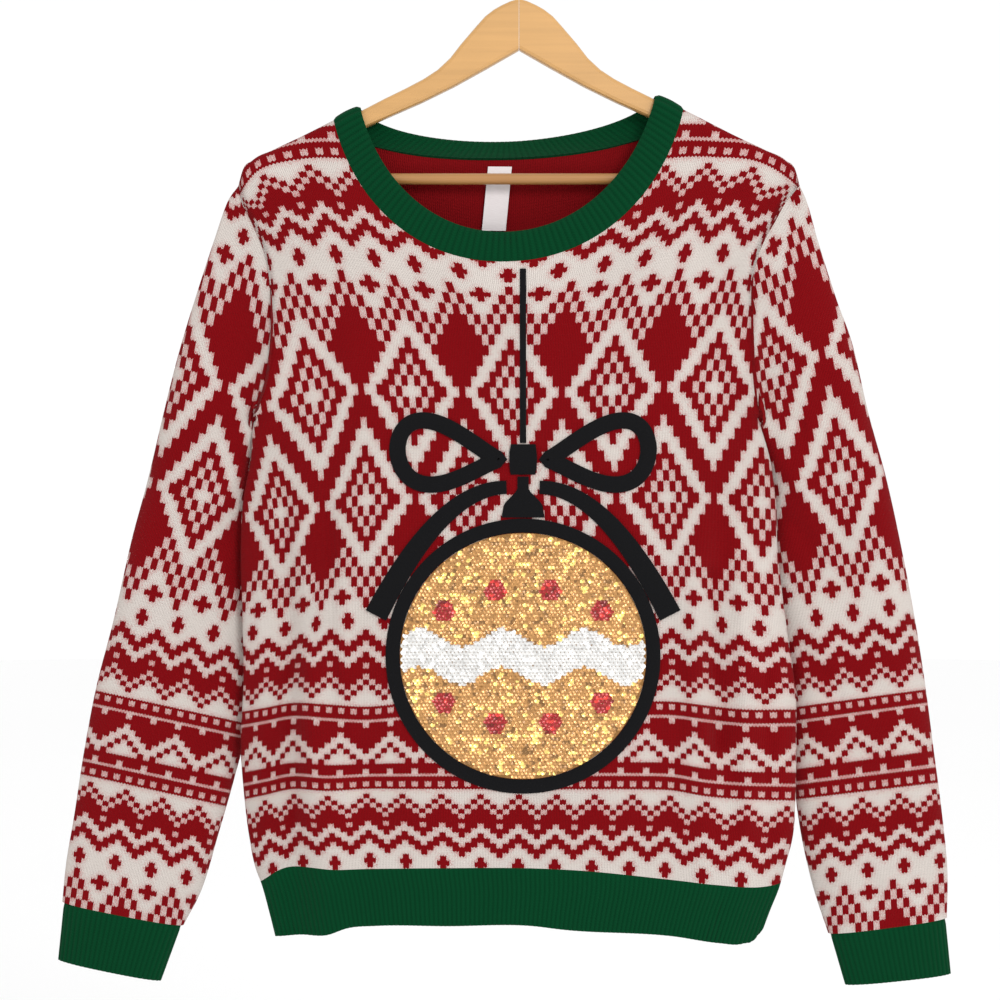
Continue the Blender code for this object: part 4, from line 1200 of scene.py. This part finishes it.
def plain_knit(name, colour, stitches=1.0):
    """One colour of yarn, with a number of stitches in each step of the knit's own place."""
    mat, tree, shader = new_material(name, **YARN)
    stitch, row = knit_place(tree)
    height = stitch_relief(stitch * stitches, row)
    fleck = noise(tree, 1100.0, 1.0)
    # share darkens the yarn toward shaded(colour, 0.4) where the stitch relief is low: painted
    # shade between the stitches' legs, with random flecks and clouds of tone.
    share = (height * 0.3 + fleck * 0.3 + noise(tree, 18.0) * 0.2 + 0.42).math("MINIMUM", 1.0)
    colours = mixed(tree, share, shaded(colour, 0.4), colour)
    surface(tree, shader, colours, height + fleck * 0.2, 0.0004)
    return mat


def rib_knit():
    """The ribs' green yarn, lighter on the crests and a little darker in the valleys as painted
    shade.
    """
    mat, tree, shader = new_material("green_rib_knit", **YARN)
    around, row = knit_place(tree)
    crest = ((around % 1) * math.pi).sine()
    slanted = row + (crest - 0.5) * 0.7
    height = crest * 0.6 + ((slanted % 1) * math.pi).sine() * 0.4
    fleck = noise(tree, 1100.0, 1.0)
    # share darkens the green toward shaded(GREEN, 0.62) in the valleys between the crests: painted
    # shade, with random flecks and clouds of tone.
    share = (height * 0.75 + fleck * 0.2 + noise(tree, 20.0) * 0.2 + 0.05).math("MINIMUM", 1.0)
    colours = mixed(tree, share, shaded(GREEN, 0.62), GREEN)
    surface(tree, shader, colours, height + fleck * 0.2, 0.0004)
    return mat


def napped(name, colour):
    """Short-napped black cloth."""
    mat, tree, shader = new_material(
        name, Roughness=0.9, Sheen_Weight=0.08, Sheen_Roughness=0.5, Specular_IOR_Level=0.1
    )
    nap = noise(tree, 1500.0, 2.0)
    colours = mixed(tree, nap, shaded(colour, 0.5), shaded(colour, 2.2))
    surface(tree, shader, colours, nap, 0.0004)
    return mat


def sequin(name, colour, painted_highlight, metal, painted_shade_factor=0.45):
    """Thin shiny discs. Each one has its own tone, a few carry painted shade and a few a painted
    highlight.
    """
    mat, tree, shader = new_material(
        name, Metallic=metal, Roughness=0.30, Specular_IOR_Level=0.5, Coat_Weight=0.2
    )
    tone, chance = knit_place(tree)
    chance = chance + noise(tree, 90.0) * 0.5 - 0.25
    colours = mixed(tree, tone, shaded(colour, 0.80), colour)
    # A painted highlight on the few sequins whose chance is high.
    colours = mixed(tree, chance > 0.90, colours, painted_highlight)
    # Painted shade on the few whose chance is low: a darker copy of their colour.
    colours = mixed(tree, chance < 0.10, colours, shaded(colour, painted_shade_factor))
    surface(tree, shader, colours, noise(tree, 700.0), 0.0002)
    return mat


def satin():
    """The label's blank tape, woven across."""
    mat, tree, shader = new_material("satin_tape", Roughness=0.4, Sheen_Weight=0.1)
    weave = noise(tree, 1.0, 1.0, object_place(tree, (300, 300, 2500)))
    colours = mixed(tree, weave, (0.62, 0.56, 0.56), (0.72, 0.67, 0.665))
    surface(tree, shader, colours, weave, 0.0001)
    return mat


def wood(name, angle, colour):
    """Varnished beech with its grain along the piece, at an angle to the floor."""
    mat, tree, shader = new_material(
        name, Roughness=0.38, Coat_Weight=0.25, Coat_Roughness=0.25, Specular_IOR_Level=0.4
    )
    place_on = object_place(tree, (6, 260, 260))
    place_on.node.inputs["Rotation"].default_value = (0, angle, 0)
    grain = noise(tree, 1.0, 3.0, place_on)
    cloud = noise(tree, 20.0, 1.0)
    share = (grain * 0.8 + cloud * 0.4 - 0.1).math("MINIMUM", 1.0)
    colours = mixed(tree, share, colour, shaded(colour, 0.68))
    surface(tree, shader, colours, grain, 0.00008)
    return mat


def plated():
    """Bright plated wire with faint marks of drawing."""
    mat, tree, shader = new_material("plated_wire", Metallic=1.0, Roughness=0.22)
    drawn = noise(tree, 400.0, 2.0)
    colours = mixed(tree, drawn, (0.52, 0.52, 0.53), (0.66, 0.66, 0.67))
    surface(tree, shader, colours, drawn, 0.00003)
    return mat


def pale_floor():
    """The studio floor's nearly white paint."""
    mat, tree, shader = new_material("pale_floor", Roughness=0.9, Specular_IOR_Level=0.1)
    cloud = noise(tree, 0.6, 1.0)
    colours = mixed(tree, cloud, (0.96, 0.96, 0.96), (0.975, 0.975, 0.975))
    tree.links.new(colours, shader.inputs["Base Color"])
    return mat


# ---------------------------------------------------------------- what is sewn on the front
MOTIF_X = 3.0
PATCH_DROP = 596.0
PATCH_RADIUS = 97.0
BORDER_WIDTH = 11.0
APPLIQUE = 1.6  # how thick the black pieces are
SEWN_GAP = 0.4  # between the knit and what is sewn on it
PATCH_TOP = 1.1  # the patch's cloth above the knit
KNOT_DROP = 441.0
HALF_KNOT = 11.0
KNOT_HEIGHT = 12.0  # half of it
BOW_SPAN = 104.0
RIBBON = 13.0
LOOP_HEIGHT = 34.0  # half of a loop's
LOOP_RISE = 8.0  # how far a loop's far end stands above the knot
TAIL_START = (13.0, 463.0)
TAIL_END = (116.0, 564.0)
CORD_TOP = 290.0
CORD = 5.0
SEQUIN = 4.2  # a sequin's diameter
SEQUIN_STEP = 3.1  # between sequins in a row
SEQUIN_ROWS = 2.7  # between rows
SEQUIN_RISE = 1.3  # above the knit
SEQUIN_SIDES = 8
SEQUIN_RINGS = ((0.18, 0.0), (0.62, 0.10), (1.0, 0.32))  # share of its radius, and how cupped
SEQUIN_TIPS = 0.10  # how much a sequin tips either way
SEQUIN_HANGS = -0.17  # how much all of them tip down
SEED = 7


def on_front(x, drop, out):
    """Points a height above the front panel."""
    x, drop = np.asarray(x, float), np.asarray(drop, float)
    points = body_point("front", across_at(x, drop), drop)
    points[..., 1] -= out
    return points


def sewn(name, x, drop, mats, closed=False, crown=0.5):
    """A soft flat piece from a grid of places on the front, a little fuller in its middle."""
    rows = len(x)
    t = np.linspace(0, 1, rows)[:, None]
    full = (4 * t * (1 - t)) ** 0.5
    back = on_front(x, drop, SEWN_GAP)
    front = on_front(x, drop, SEWN_GAP + APPLIQUE * (1 - crown) + APPLIQUE * crown * full)
    steps = x.shape[1] + (1 if closed else 0)
    knit = together(np.arange(steps), t * rows)
    return wall(name, front, back, mats, knit, closed)


def ribbon(name, middle, widths, mats, closed=False, across=6, crown=0.5):
    """A strip along a line of (sideways, drop) places."""
    middle = np.array(middle, float)
    if closed:
        along = np.roll(middle, -1, 0) - np.roll(middle, 1, 0)
    else:
        along = np.gradient(middle, axis=0)
    side = unit(np.stack([-along[:, 1], along[:, 0]], 1)) * np.asarray(widths)[:, None] / 2
    share = np.linspace(1, -1, across)[:, None, None]
    rows = middle + share * side
    return sewn(name, MOTIF_X + rows[..., 0], rows[..., 1], mats, closed, crown)


def make_sequins(name, places, mat, rng):
    """Overlapping cupped discs with a hole, joined in one mesh. Each tips a little."""
    count = len(places)
    x, drop = places[:, 0], places[:, 1]
    base = on_front(x, drop, SEQUIN_RISE)
    step = 2 * math.pi / SEQUIN_SIDES
    turn = np.arange(SEQUIN_SIDES) * step
    ring = np.stack([np.cos(turn), np.sin(turn)], 1)
    rims = np.concatenate([ring * share for share, _ in SEQUIN_RINGS])
    lift = np.repeat([cupped for _, cupped in SEQUIN_RINGS], SEQUIN_SIDES)
    tip = rng.normal(0, SEQUIN_TIPS, (count, 2)) + [0.0, SEQUIN_HANGS]
    spin = rng.uniform(0, step, count)
    cos, sin = np.cos(spin), np.sin(spin)
    local = np.empty((count, len(rims), 3))
    u = rims[:, 0] * cos[:, None] - rims[:, 1] * sin[:, None]
    v = rims[:, 0] * sin[:, None] + rims[:, 1] * cos[:, None]
    radius = SEQUIN / 2
    local[..., 0] = u * radius
    local[..., 2] = v * radius
    local[..., 1] = -lift - radius * (u * tip[:, :1] + v * tip[:, 1:])
    points = base[:, None] + local
    disc = grid_quads(len(SEQUIN_RINGS), SEQUIN_SIDES, SEQUIN_SIDES)[2]
    quads = (np.arange(count)[:, None, None] * len(rims) + disc).reshape(-1, 4)
    tones = np.repeat(rng.uniform(0, 1, (count, 1, 2)), disc.size, axis=1)
    return mesh_object(name, points.reshape(-1, 3), quads, tones, [mat])


def sequin_places():
    """Staggered rows of places inside the patch."""
    places = []
    rows = int(PATCH_RADIUS / SEQUIN_ROWS)
    reach = PATCH_RADIUS - SEQUIN * 0.45
    for k in range(-rows, rows + 1):
        shift = SEQUIN_STEP / 2 * (k % 2)
        half = int(PATCH_RADIUS / SEQUIN_STEP) + 1
        for i in range(-half, half + 1):
            x, z = i * SEQUIN_STEP + shift, k * SEQUIN_ROWS
            if math.hypot(x, z) < reach:
                places.append((MOTIF_X + x, PATCH_DROP + z))
    return np.array(places)


# The picture on the bauble: a wavy white band with red discs above and below it.
BAND_HALF = 15.0
BAND_WAVE = 7.0
DISC_RADIUS = 8.5
DISCS = [(-62, -36), (-22, -52), (22, -52), (62, -36), (-62, 36), (-22, 52), (22, 52), (62, 36)]


def sort_sequins(places):
    """Which colour each sequin has: 0 gold, 1 white, 2 red."""
    x = places[:, 0] - MOTIF_X
    z = places[:, 1] - PATCH_DROP
    kind = np.zeros(len(places), int)
    kind[np.abs(z - BAND_WAVE * np.sin(x / PATCH_RADIUS * 3 * math.pi)) < BAND_HALF] = 1
    for disc_x, disc_z in DISCS:
        kind[np.hypot(x - disc_x, z - disc_z) < DISC_RADIUS] = 2
    return kind


def make_patch(base_mat, border_mat, colours):
    """The round sequin patch: a cloth base, its sequins and its black border."""
    turn = np.linspace(0, 2 * np.pi, 96, endpoint=False)
    radii = np.linspace(0.02, 1.0, 14)[:, None] * PATCH_RADIUS
    x = MOTIF_X + radii * np.sin(turn)
    drop = PATCH_DROP + radii * np.cos(turn)
    back = on_front(x, drop, SEWN_GAP)
    front = on_front(x, drop, PATCH_TOP)
    knit = together(np.arange(len(turn) + 1), radii / 3)
    base = wall("patch_base", front, back, [base_mat, base_mat], knit, closed=True)
    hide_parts("motif_patch")
    made = [base]
    rng = np.random.default_rng(SEED)
    places = sequin_places()
    kind = sort_sequins(places)
    for number, name in enumerate(("gold", "white", "red")):
        shown = places[kind == number]
        made.append(make_sequins("sequins_" + name, shown, colours[number], rng))
    radius = PATCH_RADIUS + SEWN_GAP + BORDER_WIDTH / 2
    turn = np.linspace(0, 2 * np.pi, 120, endpoint=False)
    ring = np.stack([radius * np.sin(turn), PATCH_DROP + radius * np.cos(turn)], 1)
    widths = np.full(len(turn), BORDER_WIDTH)
    border = ribbon("patch_border", ring, widths, [border_mat] * 2, True)
    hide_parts("motif_border")
    return made, border


def make_bow(mat):
    """The black ribbon bow over the patch, with its hanging cord."""
    mats = [mat, mat]
    made = []

    def piece(obj, node):
        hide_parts(node)
        made.append(obj)

    turns = np.linspace(-1, 1, 9)
    knot_x, knot_drop = np.meshgrid(turns * HALF_KNOT, turns * KNOT_HEIGHT)
    knot_x = knot_x * (1 - 0.12 * (knot_drop / KNOT_HEIGHT) ** 2)
    obj = sewn("bow_knot", MOTIF_X + knot_x, KNOT_DROP + knot_drop, mats, crown=0.7)
    piece(obj, "motif_knot")
    turn = np.linspace(0, 2 * np.pi, 72, endpoint=False)
    reach = BOW_SPAN - HALF_KNOT - RIBBON
    for side, name in ((-1, "left"), (1, "right")):
        along = (1 - np.cos(turn)) / 2
        x = side * (HALF_KNOT + RIBBON / 2 + 1.5 + reach * along**0.9)
        drop = KNOT_DROP - LOOP_RISE * along + LOOP_HEIGHT * np.sin(turn) * along**0.6
        loop = np.stack([x, drop], 1)
        obj = ribbon("bow_loop_" + name, loop, np.full(len(turn), RIBBON), mats, True)
        piece(obj, "motif_loop_" + name)
        t = np.linspace(0, 1, 36)
        tail_x = side * (TAIL_START[0] + (TAIL_END[0] - TAIL_START[0]) * t**0.9)
        tail_drop = TAIL_START[1] + (TAIL_END[1] - TAIL_START[1]) * t**1.8
        tail = np.stack([tail_x, tail_drop], 1)
        obj = ribbon("bow_tail_" + name, tail, RIBBON * (0.8 + 0.6 * t), mats)
        piece(obj, "motif_tail_" + name)
    cord_drop = np.linspace(CORD_TOP, KNOT_DROP - KNOT_HEIGHT - 1, 60)
    cord = np.stack([np.zeros(60), cord_drop], 1)
    piece(ribbon("bauble_cord", cord, np.full(60, CORD), mats, crown=0.8), "motif_cord")
    t = np.linspace(0, 1, 14)
    first = KNOT_DROP + KNOT_HEIGHT + 1.5
    last = PATCH_DROP - PATCH_RADIUS - BORDER_WIDTH - 1.2
    cap = np.stack([np.zeros(14), first + (last - first) * t], 1)
    widths = np.interp(t * 3, np.arange(4), [9.0, 9.0, 30.0, 34.0])
    piece(ribbon("bauble_cap", cap, widths, mats), "motif_cap")
    return made


# ---------------------------------------------------------------- the label
LABEL_X = -15.2
LABEL_DRIFT = -5.0  # how far it leans sideways
LABEL_WIDTH = 19.2
LABEL_DROPS = (204.5, 256.0)
LABEL_GAP = 0.6  # behind its upper end
LABEL_HANGS = 2.0  # how much further off its lower end hangs
LABEL_THICK = 1.0
LABEL_EDGE = 0.5  # its thickness at the upper and lower ends


def make_label(mat, rows=28, wide=12):
    """A blank folded tape against the inside of the back panel."""
    drops = np.linspace(*LABEL_DROPS, rows)[:, None]
    part_way = (drops - LABEL_DROPS[0]) / (LABEL_DROPS[1] - LABEL_DROPS[0])
    x = LABEL_X + LABEL_DRIFT * part_way + np.linspace(-0.5, 0.5, wide) * LABEL_WIDTH
    drops = np.broadcast_to(drops, x.shape)
    cloth = body_point("back", across_at(x, drops), drops)
    cloth[..., 1] -= WALL + GAP + LABEL_GAP + LABEL_HANGS * part_way
    fold = ease(part_way / 0.12) * ease((1 - part_way) / 0.1)
    thick = LABEL_EDGE + (LABEL_THICK - LABEL_EDGE) * fold
    front = cloth - np.array([0, 1, 0]) * thick[..., None]
    steps = together(np.arange(wide), np.arange(rows)[:, None])
    return wall("blank_label", cloth, front, [mat, mat], steps)


# ---------------------------------------------------------------- putting it together
def dress(obj, replaced):
    """Puts a piece on the garment in place of a solid."""
    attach(obj, BODY)
    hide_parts(replaced)


def repaint(node, mat):
    """Gives a CAD node that stays in view its own procedural material."""
    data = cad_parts[node].data
    data.materials.clear()
    data.materials.append(mat)


def build_cloth():
    """The panels, sleeves and bands, by name."""
    knit = jacquard()
    inside = plain_knit("knit_inside", INSIDE_RED)
    rib = rib_knit()
    # The hem's and cuffs' inner faces: the ribs' green at half its brightness, as painted shade
    # inside the bands.
    rib_inside_painted_shade = plain_knit("rib_inside_painted_shade", shaded(GREEN, 0.5), 2.0)
    cloth = [knit, inside]
    ribs = [rib, rib_inside_painted_shade]
    parts = {}
    for panel in ("front", "back"):
        parts[panel] = make_panel(panel, cloth)
        dress(parts[panel], panel + "_panel")
        parts["hem_" + panel] = make_hem(panel, ribs)
        dress(parts["hem_" + panel], "hem_rib_" + panel)
    parts["neck"] = make_neck([rib, rib])
    dress(parts["neck"], "neck_rib")
    for side in ("left", "right"):
        sleeve, end = make_sleeve(side, cloth)
        parts["sleeve_" + side] = sleeve
        dress(sleeve, "sleeve_" + side)
        cuff = make_cuff(side, end, ribs)
        parts["cuff_" + side] = cuff
        dress(cuff, "cuff_" + side)
    return parts


def build_motif():
    """The pieces of the picture on the front."""
    black = napped("black_nap", BLACK)
    ground = napped("patch_ground", shaded(GOLD, 0.35))
    # After each sequins' colour come its painted highlight's colour and how metallic it is, then,
    # where given, how dark its painted shade is.
    colours = [
        sequin("gold_sequins", GOLD, (1.0, 0.78, 0.22), 0.5),
        sequin("white_sequins", PALE, (1.0, 1.0, 1.0), 0.0, painted_shade_factor=0.75),
        sequin("red_sequins", BRIGHT_RED, (0.80, 0.05, 0.04), 0.3),
    ]
    sequins, border = make_patch(ground, black, colours)
    applique = [border] + make_bow(black)
    for obj in sequins:
        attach(obj, BODY)
    for obj in applique:
        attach(obj, BODY)
    return sequins + applique


def build_hanger():
    """The solids that stay in view, in wood and wire."""
    repaint("hanger_arm_left", wood("beech_left", -ARM_SLOPE, BEECH))
    repaint("hanger_arm_right", wood("beech_right", ARM_SLOPE, BEECH))
    # The bar gets the darker copy of the beech, as painted shade.
    repaint("hanger_bar", wood("beech_bar_painted_shade", 0.0, BAR_BEECH_PAINTED_SHADE))
    repaint("hanger_hook", plated())


FLOOR_DROP = 1350.0
FLOOR_THICK = 20.0


def studio():
    """A pale floor far below, soft light from all round and one large soft lamp."""
    scene = bpy.context.scene
    scene.view_settings.view_transform = "Standard"
    world = bpy.data.worlds.new("studio")
    scene.world = world
    world.use_nodes = True
    sky = world.node_tree.nodes["Background"]
    sky.inputs["Color"].default_value = (1, 1, 1, 1)
    sky.inputs["Strength"].default_value = 1.01
    lamp = bpy.data.lights.new("soft_key", "AREA")
    lamp.shape = "DISK"
    lamp.size = 1.3
    lamp.energy = 62.0
    key = bpy.data.objects.new("soft_key", lamp)
    key.location = (1.35, -3.2, 0.8)
    key.rotation_euler = (math.radians(70), 0, math.radians(23))
    scene.collection.objects.link(key)
    turn = np.linspace(0, 2 * np.pi, 96, endpoint=False)
    radii = np.array([0.05, 3.0, 12.0])[:, None] / MM
    floor_top = place(radii * np.cos(turn), radii * np.sin(turn), FLOOR_DROP)
    paint = pale_floor()
    under = floor_top - [0, 0, FLOOR_THICK]
    floor = wall("studio_floor", floor_top, under, [paint, paint], closed=True)
    lens = bpy.data.cameras.new("camera")
    lens.sensor_width = 36.0
    lens.lens = 90.0
    lens.clip_end = 100.0
    camera = bpy.data.objects.new("camera", lens)
    camera.location = (EYE_X * MM, EYE_Y * MM, -EYE_DROP * MM)
    camera.rotation_euler = (math.pi / 2, 0, 0)
    scene.collection.objects.link(camera)
    scene.camera = camera


def main():
    parts = build_cloth()
    motif = build_motif()
    label = make_label(satin())
    dress(label, "label")
    build_hanger()
    [parts["hem_front"], parts["neck"]] + motif
    studio()


main()
